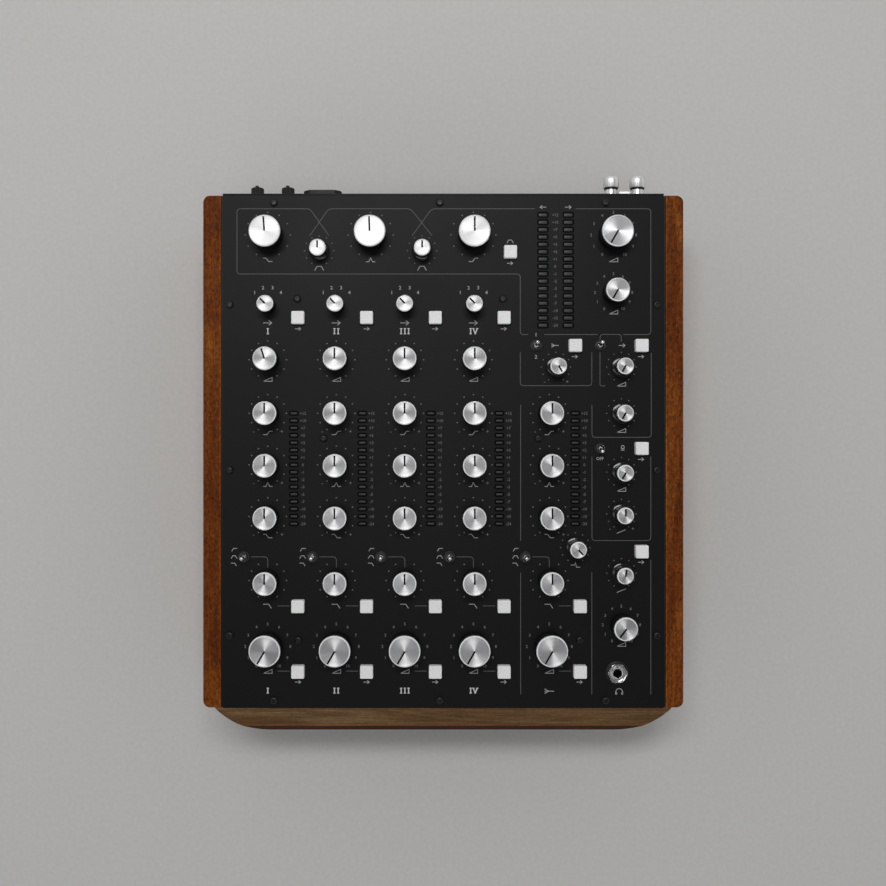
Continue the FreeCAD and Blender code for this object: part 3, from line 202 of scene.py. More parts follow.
def eased(corner, before, after, reach, steps):
    """Parabola at each corner, from a reach before it to a reach after it, or less where a side is short."""
    back, on = before - corner, after - corner
    back_length, on_length = (np.linalg.norm(v, axis=1)[:, None] for v in (back, on))
    ease = np.minimum(reach, SHORT_SIDE_SHARE * np.minimum(back_length, on_length))
    start, end = corner + back / back_length * ease, corner + on / on_length * ease
    s = np.linspace(0, 1, steps)[None, :, None]
    bend = (1 - s) ** 2 * start[:, None] + 2 * s * (1 - s) * corner[:, None] + s ** 2 * end[:, None]
    return bend.reshape(-1, 2)


LEAST_CORNER = 0.25


def square_stack(half_x, half_y, corner, levels, centre):
    """Closed block of rounded rectangles drawn in by (inset, height) levels, with a point in each end.

    Its sizes are millimetres, its centre is in metres."""
    rings = []
    for inset, height in levels:
        bend = max(corner - inset, corner * LEAST_CORNER)
        rings.append(raised(rounded_square(half_x - inset, half_y - inset, bend), height))
    poles = [np.multiply((0, 0, levels[i][1]), MM) + centre for i in (0, -1)]
    return loft(np.array(rings) * MM + centre, *poles)


def piece(name, shells, material, body="root", smooth=40, replaced=()):
    """One object from a list of shells, with outward faces and edges over the smooth angle kept sharp."""
    offsets = np.cumsum([0] + [len(v) for v, f in shells])
    verts = np.vstack([v for v, f in shells])
    faces = [[i + o for i in face] for (v, f), o in zip(shells, offsets) for face in f]
    mesh = bpy.data.meshes.new(name)
    mesh.from_pydata(verts.tolist(), [], faces)
    work = bmesh.new()
    work.from_mesh(mesh)
    bmesh.ops.remove_doubles(work, verts=work.verts, dist=MERGE)
    bmesh.ops.recalc_face_normals(work, faces=work.faces)
    work.to_mesh(mesh)
    work.free()
    mesh.polygons.foreach_set("use_smooth", np.ones(len(mesh.polygons), bool))
    mesh.set_sharp_from_angle(angle=math.radians(smooth))
    mesh.materials.append(material)
    obj = bpy.data.objects.new(name, mesh)
    bpy.context.scene.collection.objects.link(obj)
    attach(obj, body)
    if replaced:
        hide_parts(*replaced)
    return obj


TURNING_SPAN = 20 * MM


def polar_map(obj, centre):
    """UV map of a turned face: U is the distance from the centre, V the angle, both unbroken in each face."""
    mesh = obj.data
    index = np.empty(len(mesh.loops), int)
    mesh.loops.foreach_get("vertex_index", index)
    co = np.empty(len(mesh.vertices) * 3)
    mesh.vertices.foreach_get("co", co)
    flat = co.reshape(-1, 3)[index, :2] - centre
    total = np.empty(len(mesh.polygons), int)
    mesh.polygons.foreach_get("loop_total", total)
    owner = np.repeat(np.arange(len(total)), total)
    mean = np.stack([np.bincount(owner, flat[:, i]) for i in (0, 1)], -1) / total[:, None]
    middle = np.arctan2(mean[:, 1], mean[:, 0])[owner]
    radius = np.hypot(flat[:, 0], flat[:, 1])
    angle = np.where(radius < MERGE, middle, np.arctan2(flat[:, 1], flat[:, 0]))
    swing = (angle - middle + math.pi) % TAU - math.pi
    layer = mesh.uv_layers.new(name="turning")
    uv = np.stack([radius / TURNING_SPAN, (middle + swing) / TAU], -1)
    layer.data.foreach_set("uv", uv.ravel())


# Material helpers

def feed(node, **sources):
    """Fill the node's inputs of those names, each by a link from a socket or by a fixed value."""
    for key, source in sources.items():
        target = node.inputs[key.replace("_", " ")]
        if isinstance(source, bpy.types.NodeSocket):
            node.id_data.links.new(source, target)
        else:
            target.default_value = source


def add(tree, kind, settings=None, **sources):
    """A shader node with its settings and inputs."""
    node = tree.nodes.new("ShaderNode" + kind)
    for key, value in (settings or {}).items():
        setattr(node, key, value)
    feed(node, **sources)
    return node


def new_group(name, inputs, outputs):
    """An empty shader node group: inputs are the Vector and floats with a start value, outputs are floats."""
    tree = bpy.data.node_groups.new(name, "ShaderNodeTree")
    tree.interface.new_socket("Vector", in_out="INPUT", socket_type="NodeSocketVector")
    for label, value in inputs.items():
        socket = tree.interface.new_socket(label, in_out="INPUT", socket_type="NodeSocketFloat")
        socket.default_value = value
    for label in outputs:
        tree.interface.new_socket(label, in_out="OUTPUT", socket_type="NodeSocketFloat")
    return tree, tree.nodes.new("NodeGroupInput").outputs, tree.nodes.new("NodeGroupOutput")


def ramp(tree, stops, source):
    """A colour ramp fed by a socket; stops are (place, grey or colour)."""
    node = add(tree, "ValToRGB", Fac=source)
    while len(node.color_ramp.elements) < len(stops):
        node.color_ramp.elements.new(0.5)
    for element, (place, tone) in zip(node.color_ramp.elements, stops):
        element.position = place
        element.color = (tone, tone, tone, 1) if isinstance(tone, (int, float)) else (*tone, 1)
    return node.outputs["Color"]


def grain_group():
    """Fine speckle for coats and mouldings: two noises give a mask, a height and slow blotches."""
    tree, given, out = new_group("surface_speckle", {"Scale": 1500.0}, ("Mask", "Height", "Blotch"))
    fine = add(tree, "TexNoise", Vector=given["Vector"], Scale=given["Scale"], Detail=3.0, Roughness=0.65)
    slow = add(tree, "TexNoise", Vector=given["Vector"], Scale=14.0, Detail=4.0)
    mask = ramp(tree, [(0.35, 0.0), (0.7, 1.0)], fine.outputs["Fac"])
    feed(out, Mask=mask, Height=fine.outputs["Fac"], Blotch=slow.outputs["Fac"])
    return tree


def stretched_noise(tree, source, scale, dimensions="3D", **sources):
    """Noise drawn out along the axes by a scale each."""
    drawn = add(tree, "Mapping", Vector=source, Scale=scale).outputs["Vector"]
    noise = add(tree, "TexNoise", {"noise_dimensions": dimensions}, Vector=drawn, Scale=1.0, **sources)
    return noise.outputs["Fac"]


def timber_group():
    """Wood along local Y: wavy growth bands, fine fibres, short dark pores and flecks."""
    tree, given, out = new_group("timber_grain", {}, ("Bands", "Fibres", "Pores", "Fleck"))

    def figure(scale, detail, distortion):
        return stretched_noise(tree, given["Vector"], scale, Detail=detail, Distortion=distortion)

    pores = ramp(tree, [(0.60, 0.0), (0.70, 1.0)], figure((2600, 620, 2600), 1.0, 0.0))
    feed(out, Bands=figure((70, 9, 70), 5.0, 1.4), Fibres=figure((850, 45, 850), 4.0, 0.2), Pores=pores,
         Fleck=figure((620, 330, 620), 3.0, 0.9))
    return tree


SPECKLE = grain_group()
TIMBER = timber_group()


def new_material(name, **sockets):
    """A material with its Principled shader and Object coordinates; uniform values go on the shader."""
    material = bpy.data.materials.new(name)
    material.use_nodes = True
    tree = material.node_tree
    shader = tree.nodes["Principled BSDF"]
    feed(shader, **sockets)
    return material, tree, shader, add(tree, "TexCoord").outputs["Object"]


def mix(tree, first, second, factor, blend="MIX"):
    """Blend of two colours; each of them and the factor is a socket or a fixed value."""
    first, second = ((*c, 1) if isinstance(c, tuple) else c for c in (first, second))
    settings = {"data_type": "RGBA", "blend_type": blend}
    return add(tree, "Mix", settings, A=first, B=second, Factor=factor).outputs["Result"]


def bump(tree, shader, height, strength, distance):
    """Bump from a height socket into the shader's normal."""
    node = add(tree, "Bump", Height=height, Strength=strength, Distance=distance)
    feed(shader, Normal=node.outputs["Normal"])


def spread(tree, source, low, high):
    """A varying value remapped from 0..1 to low..high."""
    return add(tree, "MapRange", Value=source, To_Min=low, To_Max=high).outputs["Result"]


def between(tree, source, start, end):
    """A value remapped to 0 at start and 1 at end, and held there beyond them."""
    return add(tree, "MapRange", Value=source, From_Min=start, From_Max=end).outputs["Result"]


def axis_of(tree, place, axis):
    """One coordinate of a place."""
    return add(tree, "SeparateXYZ", Vector=place).outputs[axis]


def speckle(tree, place, scale):
    """Outputs of the speckle group at a scale."""
    return add(tree, "Group", {"node_tree": SPECKLE}, Vector=place, Scale=scale).outputs


def grey(tone, blue=None):
    """A grey, with its blue a little apart where one is given."""
    return tone, tone, tone if blue is None else blue


def dimmed(colour, share):
    """A share of a colour."""
    return tuple(c * share for c in colour)


def speckled(name, dark, light, rough, scale, height, metallic=0.0, **sockets):
    """A coat or moulding: two close tones, roughness that wanders and a fine orange-peel bump."""
    material, tree, shader, place = new_material(name, Metallic=metallic, **sockets)
    grain = speckle(tree, place, scale)
    feed(shader, Base_Color=mix(tree, dark, light, grain["Mask"]),
         Roughness=spread(tree, grain["Blotch"], *rough))
    bump(tree, shader, grain["Height"], 1.0, height)
    return material


PLAIN_TINT = ((0.0, 1.0), (1.0, 1.0))
TINT_DEPTH = 30 * MM
ARRIS_REACH = 4 * MM
BAND_PLACES = (0.28, 0.46, 0.58, 0.75)
PORE_BROWN = (0.030, 0.008, 0.003)


def timber(name, along_x, tones, gloss, mottle, heights=PLAIN_TINT, edge_highlight=PLAIN_TINT):
    """Oiled wood in a row of tones, its grain along Y, or along X for the front rail.

    heights tints it from the tint depth below the panel's face (0) up to the face (1); on the rail this paints
    shade on the lower face and a highlight along the nose.
    The arris tint runs from the panel's side (0) to the arris reach beyond it (1): a painted highlight along the
    edge beside the panel."""
    material, tree, shader, place = new_material(name, Specular_IOR_Level=gloss)
    turn = add(tree, "Mapping", Vector=place, Rotation=(0, 0, math.pi / 2 if along_x else 0))
    grain = add(tree, "Group", {"node_tree": TIMBER}, Vector=turn.outputs["Vector"]).outputs
    colour = ramp(tree, list(zip(BAND_PLACES, tones)), grain["Bands"])
    colour = mix(tree, colour, ramp(tree, [(0.3, 0.22), (0.7, 0.78)], grain["Fleck"]), mottle, "OVERLAY")
    colour = mix(tree, colour, ramp(tree, [(0.3, 0.28), (0.7, 0.72)], grain["Fibres"]), 0.55, "OVERLAY")
    colour = mix(tree, colour, PORE_BROWN, spread(tree, grain["Pores"], 0.0, 0.5))
    # Tint by height: on the rail, painted shade on the lower face and a painted highlight on the nose's edge.
    rise = between(tree, axis_of(tree, place, "Z"), PANEL_TOP - TINT_DEPTH, PANEL_TOP)
    colour = mix(tree, colour, ramp(tree, heights, rise), 1.0, "MULTIPLY")
    # Painted highlight along the cheek's edge by the panel, from the arris tint.
    aside = add(tree, "Math", {"operation": "ABSOLUTE"}, Value=axis_of(tree, place, "X"))
    beyond = between(tree, aside.outputs["Value"], panel_high.x, panel_high.x + ARRIS_REACH)
    colour = mix(tree, colour, ramp(tree, edge_highlight, beyond), 1.0, "MULTIPLY")
    feed(shader, Base_Color=colour, Roughness=spread(tree, grain["Fleck"], 0.46, 0.68))
    sunk = add(tree, "Math", {"operation": "SUBTRACT"}, Value=grain["Fibres"])
    tree.links.new(grain["Pores"], sunk.inputs[1])
    bump(tree, shader, sunk.outputs["Value"], 0.7, 0.08 * MM)
    return material


def turned_metal(name, dark, light):
    """Bright turned aluminium: fine rings and faint spokes round the centre, with fanned reflections."""
    material, tree, shader = new_material(name, Metallic=1.0, Anisotropic=0.88)[:3]
    polar = add(tree, "UVMap", {"uv_map": "turning"}).outputs["UV"]
    rings = stretched_noise(tree, polar, (420, 0.8, 1), "2D", Detail=3.0)
    spokes = stretched_noise(tree, polar, (3.0, 90, 1), "2D", Detail=2.0)
    marks = add(tree, "Mix", A=rings, B=spokes, Factor=0.45).outputs["Result"]
    tangent = add(tree, "Tangent", {"direction_type": "UV_MAP", "uv_map": "turning"})
    feed(shader, Base_Color=mix(tree, dark, light, marks), Roughness=spread(tree, marks, 0.36, 0.56),
         Tangent=tangent.outputs["Tangent"])
    bump(tree, shader, rings, 0.5, 0.006 * MM)
    return material


def plated(name, tone, rough):
    """Plated metal with faint handling marks."""
    return speckled(name, dimmed(tone, 0.86), tone, rough, 260.0, 0.004 * MM, metallic=1.0)


def printed(name, dark, light):
    """Printing ink between two greys."""
    return speckled(name, grey(dark), grey(light), (0.55, 0.7), 1800.0, 0.01 * MM)


ZONE_BLEND = 0.12 * MM


def zoned(name, below, above, height, rough, metallic=(0.0, 0.0)):
    """A finish that changes at a height: speckled colour below it, another colour above it."""
    material, tree, shader, place = new_material(name)
    grain = speckle(tree, place, 900.0)
    zone = between(tree, axis_of(tree, place, "Z"), height - ZONE_BLEND, height + ZONE_BLEND)
    lower = mix(tree, dimmed(below, 0.7), below, grain["Mask"])
    upper = mix(tree, dimmed(above, 0.8), above, grain["Mask"])
    feed(shader, Base_Color=mix(tree, lower, upper, zone), Metallic=spread(tree, zone, *metallic),
         Roughness=spread(tree, grain["Blotch"], *rough))
    bump(tree, shader, grain["Height"], 1.0, 0.008 * MM)
    return material


PANEL_COAT = speckled("panel_coat", grey(0.0023, 0.0024), grey(0.0050, 0.0052), (0.44, 0.54), 2600.0,
                      0.02 * MM, Specular_IOR_Level=0.18)
CASE_COAT = speckled("case_coat", grey(0.008, 0.0085), grey(0.016, 0.017), (0.45, 0.60), 1500.0, 0.03 * MM)
CHEEK_TONES = [(0.085, 0.0170, 0.0019), (0.130, 0.0300, 0.0032), (0.170, 0.0440, 0.0048),
               (0.245, 0.075, 0.0092)]
# Painted highlight: the cheek's edge beside the panel is lightened and turned bluish, as if catching light.
CHEEK_EDGE_HIGHLIGHT = [(0.0, (1.7, 2.0, 2.4)), (0.30, (1.6, 1.8, 2.1)), (0.50, 1.0), (1.0, 1.0)]
CHEEK_WOOD = timber("cheek_wood", False, CHEEK_TONES, 0.08, 0.9, edge_highlight=CHEEK_EDGE_HIGHLIGHT)
RAIL_TONES = [(0.100, 0.050, 0.0190), (0.136, 0.071, 0.030), (0.165, 0.092, 0.041), (0.210, 0.128, 0.062)]
# Painted shade on the rail's lower face and a painted highlight along its nose, set by height.
RAIL_SHADE_AND_HIGHLIGHT = [(0.0, (0.30, 0.16, 0.10)), (0.445, (0.34, 0.18, 0.11)), (0.46, (1.25, 1.0, 0.8)),
                (0.50, (1.25, 1.05, 0.9)), (0.53, 1.0), (1.0, 1.0)]
RAIL_WOOD = timber("rail_wood", True, RAIL_TONES, 0.03, 0.35, RAIL_SHADE_AND_HIGHLIGHT)
FOOT_RUBBER = speckled("foot_rubber", grey(0.010), grey(0.022), (0.72, 0.9), 900.0, 0.03 * MM)
SCREW_STEEL = zoned("screw_steel", grey(0.004, 0.0042), grey(0.035), PANEL_TOP + 1.50 * MM,
                    (0.34, 0.46), (0.2, 0.9))
BOARD_GREEN = zoned("board_mask", (0.012, 0.06, 0.028), grey(0.008, 0.0085), panel_low.z, (0.4, 0.55))
KNOB_BLACK = speckled("knob_black", grey(0.004, 0.0042), grey(0.008, 0.0084), (0.15, 0.20), 700.0,
                      0.0002 * MM)
KNOB_FACE = turned_metal("knob_face", grey(0.44, 0.445), grey(0.84, 0.845))
BUTTON_WHITE = speckled("button_white", grey(0.83, 0.82), grey(0.91, 0.90), (0.42, 0.55), 800.0, 0.006 * MM,
                        Subsurface_Weight=0.15, Subsurface_Scale=1.2 * MM)
LENS_SMOKE = speckled("lens_smoke", grey(0.036, 0.037), grey(0.066, 0.067), (0.3, 0.42), 900.0, 0.01 * MM,
                      Specular_IOR_Level=0.2)
SLOT_BLACK = speckled("slot_black", grey(0.0012), grey(0.0024), (0.45, 0.55), 1500.0, 0.01 * MM,
                      Specular_IOR_Level=0.04)
INK = printed("legend_ink", 0.30, 0.42)
NUMERAL_INK = printed("numeral_ink", 0.52, 0.66)
DIAL_INK = printed("dial_ink", 0.12, 0.19)
LINE_INK = printed("line_ink", 0.085, 0.13)
NICKEL = plated("nickel", (0.78, 0.77, 0.75), (0.14, 0.26))
BLACK_MOULD = speckled("black_mould", grey(0.009, 0.0093), grey(0.016, 0.0165), (0.38, 0.52), 1100.0,
                       0.01 * MM, Specular_IOR_Level=0.22)
SMOKED_NICKEL = plated("smoked_nickel", grey(0.30), (0.14, 0.20))
CUT_EDGE = plated("cut_edge", grey(0.96), (0.24, 0.32))
SATIN_CHROME = plated("satin_chrome", grey(0.90, 0.89), (0.34, 0.46))
WHITE_INSERT = speckled("white_insert", (0.66, 0.65, 0.62), (0.74, 0.73, 0.70), (0.4, 0.5), 900.0, 0.006 * MM)
RED_INSERT = speckled("red_insert", (0.36, 0.012, 0.010), (0.44, 0.018, 0.014), (0.4, 0.5), 900.0, 0.006 * MM)
LEVER_CHROME = plated("lever_chrome", grey(0.86, 0.87), (0.06, 0.16))


def dress(node, material):
    """Give a carried-over node its finish."""
    obj = frame["nodes"][node]
    obj.data.materials.clear()
    obj.data.materials.append(material)


for node, material in (("top_panel", PANEL_COAT), ("steel_case", CASE_COAT), ("side_cheeks", CHEEK_WOOD),
                       ("front_rail", RAIL_WOOD), ("rubber_feet", FOOT_RUBBER), ("fasteners", SCREW_STEEL),
                       ("circuit_boards", BOARD_GREEN), ("filter_mode_toggles", LEVER_CHROME),
                       ("routing_toggles", LEVER_CHROME), ("mic_toggle", LEVER_CHROME)):
    dress(node, material)


# Knobs

CAP_THICKNESS = 2.4 * MM
CAP_CHAMFER = 0.95 * MM
CAP_POINTS = 72
CAP_EASE = 0.2 * MM
FACE_DISH = 0.10 * MM
KNOB_GAP = 0.6 * MM
KNOB_SKIRT = 1.8 * MM
SKIRT_EASE = 0.3 * MM
BODY_INSET = 0.25 * MM
FLUTE_STEP = 0.24 * MM
FLUTE_DEPTH = 0.32 * MM
POINTER_WIDTH = 1.2 * MM
POINTER_RIM = 1.3 * MM
FLANGE_CURVE = [(0, 0.40), (0.02, 0.31), (0.05, 0.27), (0.08, 0.25), (0.55, 0.12), (0.95, 0)]
FLANGE_SPREAD = 0.55 * MM
FLANGED_FROM = 6.5 * MM
LARGE_CAP = 20 * MM
MEDIUM_CAP = 15 * MM
SMALL_CAP = 12.1 * MM


def knob_sizes(name):
    """Cap radius, flange radius, foot and top of a knob, from its packed box."""
    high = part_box(name)[1]
    wide = high.x - knob_place(name)[0]
    small = wide < MEDIUM_CAP / 2
    cap = SMALL_CAP / 2 if small else wide
    flange = wide + FLANGE_SPREAD if small and wide > FLANGED_FROM else cap - BODY_INSET
    return cap, flange, PANEL_TOP + KNOB_GAP, high.z


def by_size(name, large, medium, small):
    """One of three lengths, by the size of a knob's cap."""
    cap = 2 * knob_sizes(name)[0]
    return large if cap > LARGE_CAP else medium if cap > MEDIUM_CAP else small


def rest_angle(name):
    """Clockwise angle of the pointer at rest, from the joint's stops."""
    return -math.radians(sum(knob_axes[name]["range_deg"])) / 2


def second_finish(mesh, material, first, count):
    """Give a run of a mesh's faces another finish than the rest."""
    mesh.materials.append(material)
    face = np.arange(len(mesh.polygons))
    mesh.polygons.foreach_set("material_index", ((face >= first) & (face < first + count)).astype(int))


def make_knob(name):
    """Fluted black body with the inlaid pointer, and the turned metal cap with its bright cut edge on it."""
    x, y = knob_place(name)
    cap_r, flange_r, foot, top = knob_sizes(name)
    body_r = cap_r - BODY_INSET
    root_r = body_r - FLUTE_DEPTH
    under = top - CAP_THICKNESS
    skirt = foot + KNOB_SKIRT
    flutes = int(round(cap_r / FLUTE_STEP))
    lip = flange_r - body_r
    shoulder = [(flange_r - SKIRT_EASE, skirt)]
    if lip > 0:
        shoulder = [(flange_r - a * lip, skirt - b * lip) for a, b in FLANGE_CURVE]
    profile = [(0, foot), (flange_r - SKIRT_EASE, foot), (flange_r, foot + SKIRT_EASE), *shoulder,
               (root_r, skirt + 0.05 * MM), (body_r, skirt + 0.3 * MM, FLUTE_DEPTH),
               (body_r, under - 0.5 * MM, FLUTE_DEPTH), (root_r, under - 0.2 * MM), (root_r, under),
               (0, under)]
    body = lathe(profile, flutes * 4, (x, y, 0), flutes)
    bar = box_shell((x - POINTER_WIDTH / 2, y - 0.3 * MM, top - 0.4 * MM),
                    (x + POINTER_WIDTH / 2, y + cap_r - POINTER_RIM, top + 0.02 * MM))
    bar = turn_shell(bar, rest_angle(name), (x, y))
    block = piece(name + ".body", [body, bar], KNOB_BLACK, name, 50, (name,)).data
    second_finish(block, SLOT_BLACK, len(block.polygons) - len(bar[1]), len(bar[1]))
    rim = cap_r - CAP_CHAMFER
    face = [(0, under), (cap_r - CAP_EASE, under), (cap_r, under + CAP_EASE), (cap_r, top - CAP_CHAMFER),
            (cap_r - 0.06 * MM, top - 0.74 * MM), (cap_r - 0.18 * MM, top - 0.55 * MM), (rim, top),
            (rim - 0.16 * MM, top - 0.01 * MM), (rim - 0.30 * MM, top - FACE_DISH * 0.6),
            (rim * 0.7, top - FACE_DISH * 0.75), (rim * 0.4, top - FACE_DISH * 0.9),
            (rim * 0.12, top - FACE_DISH), (0, top - FACE_DISH)]
    cap = piece(name + ".cap", [lathe(face, CAP_POINTS, (x, y, 0))], KNOB_FACE, name, 24)
    # The cut edge is the third to fifth band of faces
    second_finish(cap.data, CUT_EDGE, 2 * CAP_POINTS, 3 * CAP_POINTS)
    polar_map(cap, (x, y))


for name in sorted(knob_axes):
    make_knob(name)


# Buttons and meter lenses

BUTTON_HALF = 4.675
BUTTON_CORNER = 0.9
BUTTON_RISE = 4.0 * MM
BUTTON_LEVELS = [(0, -6.4), (0, -0.7), (0.12, -0.3), (0.35, -0.08), (0.7, 0), (1.2, -0.01), (2.6, -0.10)]
LENS_CORNER = 0.5
LENS_SINK = 0.18 * MM
LENS_LEVELS = [(0, -0.72), (0, -0.25), (0.15, -0.08), (0.45, 0)]
CHANNEL_LENS = (5.2, 1.8)
MAIN_LENS = (6.4, 2.6)
SLOT_LOW, SLOT_HIGH = -0.3, 0.04


def button_places():
    """Centres of the square buttons."""
    places = [(x + BUTTON_ASIDE, SOURCE_BUTTON_Y) for x in strip_x[:4]]
    places += [(x + BUTTON_ASIDE, y) for y in (FILTER_BUTTON_Y, MIX_BUTTON_Y) for x in strip_x]
    places += [(ISOLATOR_BUTTON_X, ISOLATOR_BUTTON_Y), (LOOP_BUTTON_X, ROUTING_Y)]
    return places + [(OUTPUT_BUTTON_X, y) for y in (ROUTING_Y, MIC_Y, PHONES_BUTTON_Y)]


def button_cap(x, y):
    """Square cap with rounded edges and a faint hollow in its top."""
    top = (x, y, PANEL_TOP + BUTTON_RISE)
    return square_stack(BUTTON_HALF, BUTTON_HALF, BUTTON_CORNER, BUTTON_LEVELS, top)


piece("button_caps", [button_cap(x, y) for x, y in button_places()], BUTTON_WHITE,
      "push_buttons", 35, ("push_buttons",))


def meter_windows():
    """Each meter segment as x, y, lens width and lens height, the last two in millimetres."""
    columns = [(x + CHANNEL_METER_ASIDE, treble_y, *CHANNEL_LENS) for x in strip_x]
    columns += [(x, MAIN_METER_Y, *MAIN_LENS) for x in MAIN_METER_X]
    return [(x, y - i * METER_PITCH, w, h) for x, y, w, h in columns for i in range(METER_SEGMENTS)]


def lens(x, y, width, height):
    """Low smoky window with a crowned top, just below the panel's face."""
    return square_stack(width / 2, height / 2, LENS_CORNER, LENS_LEVELS, (x, y, PANEL_TOP - LENS_SINK))


def slot_frame(x, y, width, height):
    """Thin dark border round a window: a closed band between two eased rectangles."""
    wide, tall = width / 2, height / 2
    outer = rounded_square(wide + 1.0, tall + 1.0, 1.3, 3)
    inner = rounded_square(wide - 0.1, tall - 0.1, 0.4, 3)
    rows = [(outer, SLOT_LOW), (outer, SLOT_HIGH), (inner, SLOT_HIGH), (inner, SLOT_LOW), (outer, SLOT_LOW)]
    return loft(np.array([raised(flat, z) for flat, z in rows]) * MM + (x, y, PANEL_TOP))


piece("meter_lenses", [lens(*window) for window in meter_windows()], LENS_SMOKE)
piece("meter_slots", [slot_frame(*window) for window in meter_windows()], SLOT_BLACK)


# Toggle collars, sockets at the rear and the phones socket

MOUNTS = {m["name"]: m["pos_m"] for m in frame["record"]["mounts"]}
UPPER_ROW = PANEL_TOP - 24.0 * MM
WHITE_ROW_FROM = PANEL_TOP / 2 - 10 * MM
FUSE_X = (-138.2 * MM, -115.4 * MM)
POST_X = (126.1 * MM, 145.7 * MM)
MAINS_X = -89.0 * MM
FLANGE_SIZE = (13.0, 15.5, 3.0)
FLANGE_BEVEL = 0.4
DRUM_RADIUS = 11.5
SOCKET_POINTS = 96
SCREW_STEP = (9.7 * MM, -12.2 * MM, 0)
PIN_RING = 5 * MM
BLADE_STEP = 7.0 * MM
BLADE_RISE = 2.0 * MM
LINK_DEPTH = 4.1
HEM_DEPTH = 0.75


def turned(points, around=32, flutes=0):
    """Body turned about an upright axis from (radius, height, flute depth) points in millimetres."""
    return lathe([tuple(c * MM for c in p) for p in points], around, flutes=flutes)


def at_rear(shell, x, z):
    """A shell made along +Z, laid to the rear on the back plate at x, z."""
    return lay_rearward(shell, (x, REAR_EDGE, z))


def mounted(prefix):
    """x, z of each mount whose name starts with the prefix."""
    return [(place[0], place[2]) for name, place in MOUNTS.items() if name.startswith(prefix)]


def flanged_socket(hollow):
    """Plate with a turned hollow: a drum's circles, the plate's edge as rectangles, the hollow's circles.

    All have their points at the same bearings; hollow is (radius, height) in millimetres."""
    bearing = np.arange(SOCKET_POINTS) * TAU / SOCKET_POINTS
    edge = rectangle_at(bearing, *FLANGE_SIZE)
    inner = rectangle_at(bearing, *(size - FLANGE_BEVEL for size in FLANGE_SIZE))
    circle = unit_circle(bearing)
    floor = hollow[-1][1]
    back = floor - 1
    rows = [(circle * DRUM_RADIUS, back), (circle * DRUM_RADIUS, 0), (edge, 0), (edge, 1.6), (inner, 2.0)]
    rows += [(circle * radius, height) for radius, height in hollow]
    rings = np.array([raised(flat, height) for flat, height in rows])
    return loft(rings * MM, (0, 0, back * MM), (0, 0, floor * MM))


def mains_shroud():
    """Shroud with two cut corners round a deep hollow: one eased outline at a row of insets and heights."""
    half, tall, cut = 14.0, 10.25, 4.0
    rings = []
    levels = [(0, -16.7), (0, 6.9), (0.4, 7.3), (1.6, 7.3), (2.0, 6.9), (2.0, -9.7)]
    for inset, height in levels:
        w, h = half - inset, tall - inset
        corners = np.array([(-w, h), (w, h), (w, cut - h), (w - cut, -h), (cut - w, -h), (-w, cut - h)])
        rings.append(raised(eased(corners, np.roll(corners, 1, 0), np.roll(corners, -1, 0), 1.4, 5), height))
    return loft(np.array(rings) * MM, (0, 0, levels[0][1] * MM), (0, 0, levels[-1][1] * MM))


def hexagon_nut(across, levels, around=72):
    """Hexagon with turned corners: at each bearing the lesser of the flat's distance and a level's circle."""
    a = np.arange(around) * TAU / around
    flat = across / 2 / np.cos(a % (math.pi / 3) - math.pi / 6)
    rings = [raised(np.minimum(flat, limit)[:, None] * unit_circle(a), height) for limit, height in levels]
    return loft(np.array(rings) * MM)


def toggle_places():
    """Centres of the toggle levers."""
    places = [(x - LEVER_ASIDE, LEVER_Y) for x in strip_x]
    return places + [(LOOP_LEVER_X, ROUTING_Y), (OUTPUT_LEVER_X, ROUTING_Y), (OUTPUT_LEVER_X, MIC_Y)]


PHONO_BARREL = [(0, 0), (5.2, 0), (5.2, 0.45), (5.05, 0.6), (4.15, 0.62), (4.15, 8.7), (3.8, 9.2), (3.5, 9.2),
                (3.42, 8.9), (3.42, 3.0), (0, 3.0)]
PHONO_CONTACT = [(0, 2.8), (1.95, 2.8), (1.95, 8.75), (1.85, 8.85), (1.65, 8.85), (1.6, 8.75), (1.6, 3.4),
                 (0, 3.4)]
PHONO_INSERT = [(1.97, 3.1), (3.4, 3.1), (3.4, 8.85), (3.3, 8.95), (2.05, 8.95), (1.97, 8.85), (1.97, 3.1)]
PLUG_BUSH = [(0, -10), (4.75, -10), (4.75, 2.9), (4.45, 3.2), (3.5, 3.2), (3.2, 2.9), (3.2, -9), (0, -9)]
PLUG_LINING = [(0, -8.95), (3.19, -8.95), (3.19, 2.4), (3.0, 2.4), (3.0, -8.7), (0, -8.7)]
PLUG_NUT = [(4.8, 0), (6.0, 0), (6.25, 0.25, 0.25), (6.25, 2.1, 0.25), (5.9, 2.4), (4.8, 2.4), (4.8, 0)]
CONTACT_PIN = [(0, -11.2), (1.2, -11.2), (1.2, -4.2), (0.8, -3.6), (0, -3.5)]
FLANGE_SCREW = [(0, 1.9), (2.3, 1.9), (2.3, 2.2), (1.9, 2.8), (1.2, 3.1), (0.95, 3.1), (0.95, 2.4), (0, 2.4)]
BALANCED_HOLLOW = [(9.75, 2.0), (9.4, 1.7), (9.4, -3.2), (9.0, -3.2), (9.0, -11)]
MIC_HOLLOW = [(9.6, 2.0), (9.4, 1.4), (5.2, 1.4), (5.0, 2.0), (3.5, 2.0), (3.2, 1.7), (3.2, -14)]
FUSE_CAP = [(0, -1), (6.5, -1), (6.5, 1.7), (6.2, 2.0), (4.9, 2.0), (4.8, 2.3, 0.35), (4.8, 10.0, 0.35),
            (4.2, 10.6), (0, 10.6)]
FUSE_GRIP = [(0, 10.4), (0, 11.7), (0.35, 12.0)]
POST_NECK = [(0, -1), (4.5, -1), (4.5, 9.4), (0, 9.4)]
POST_RING = [(0, 9.3), (4.8, 9.3), (5.0, 9.5), (5.0, 10.6), (4.8, 10.8), (0, 10.8)]
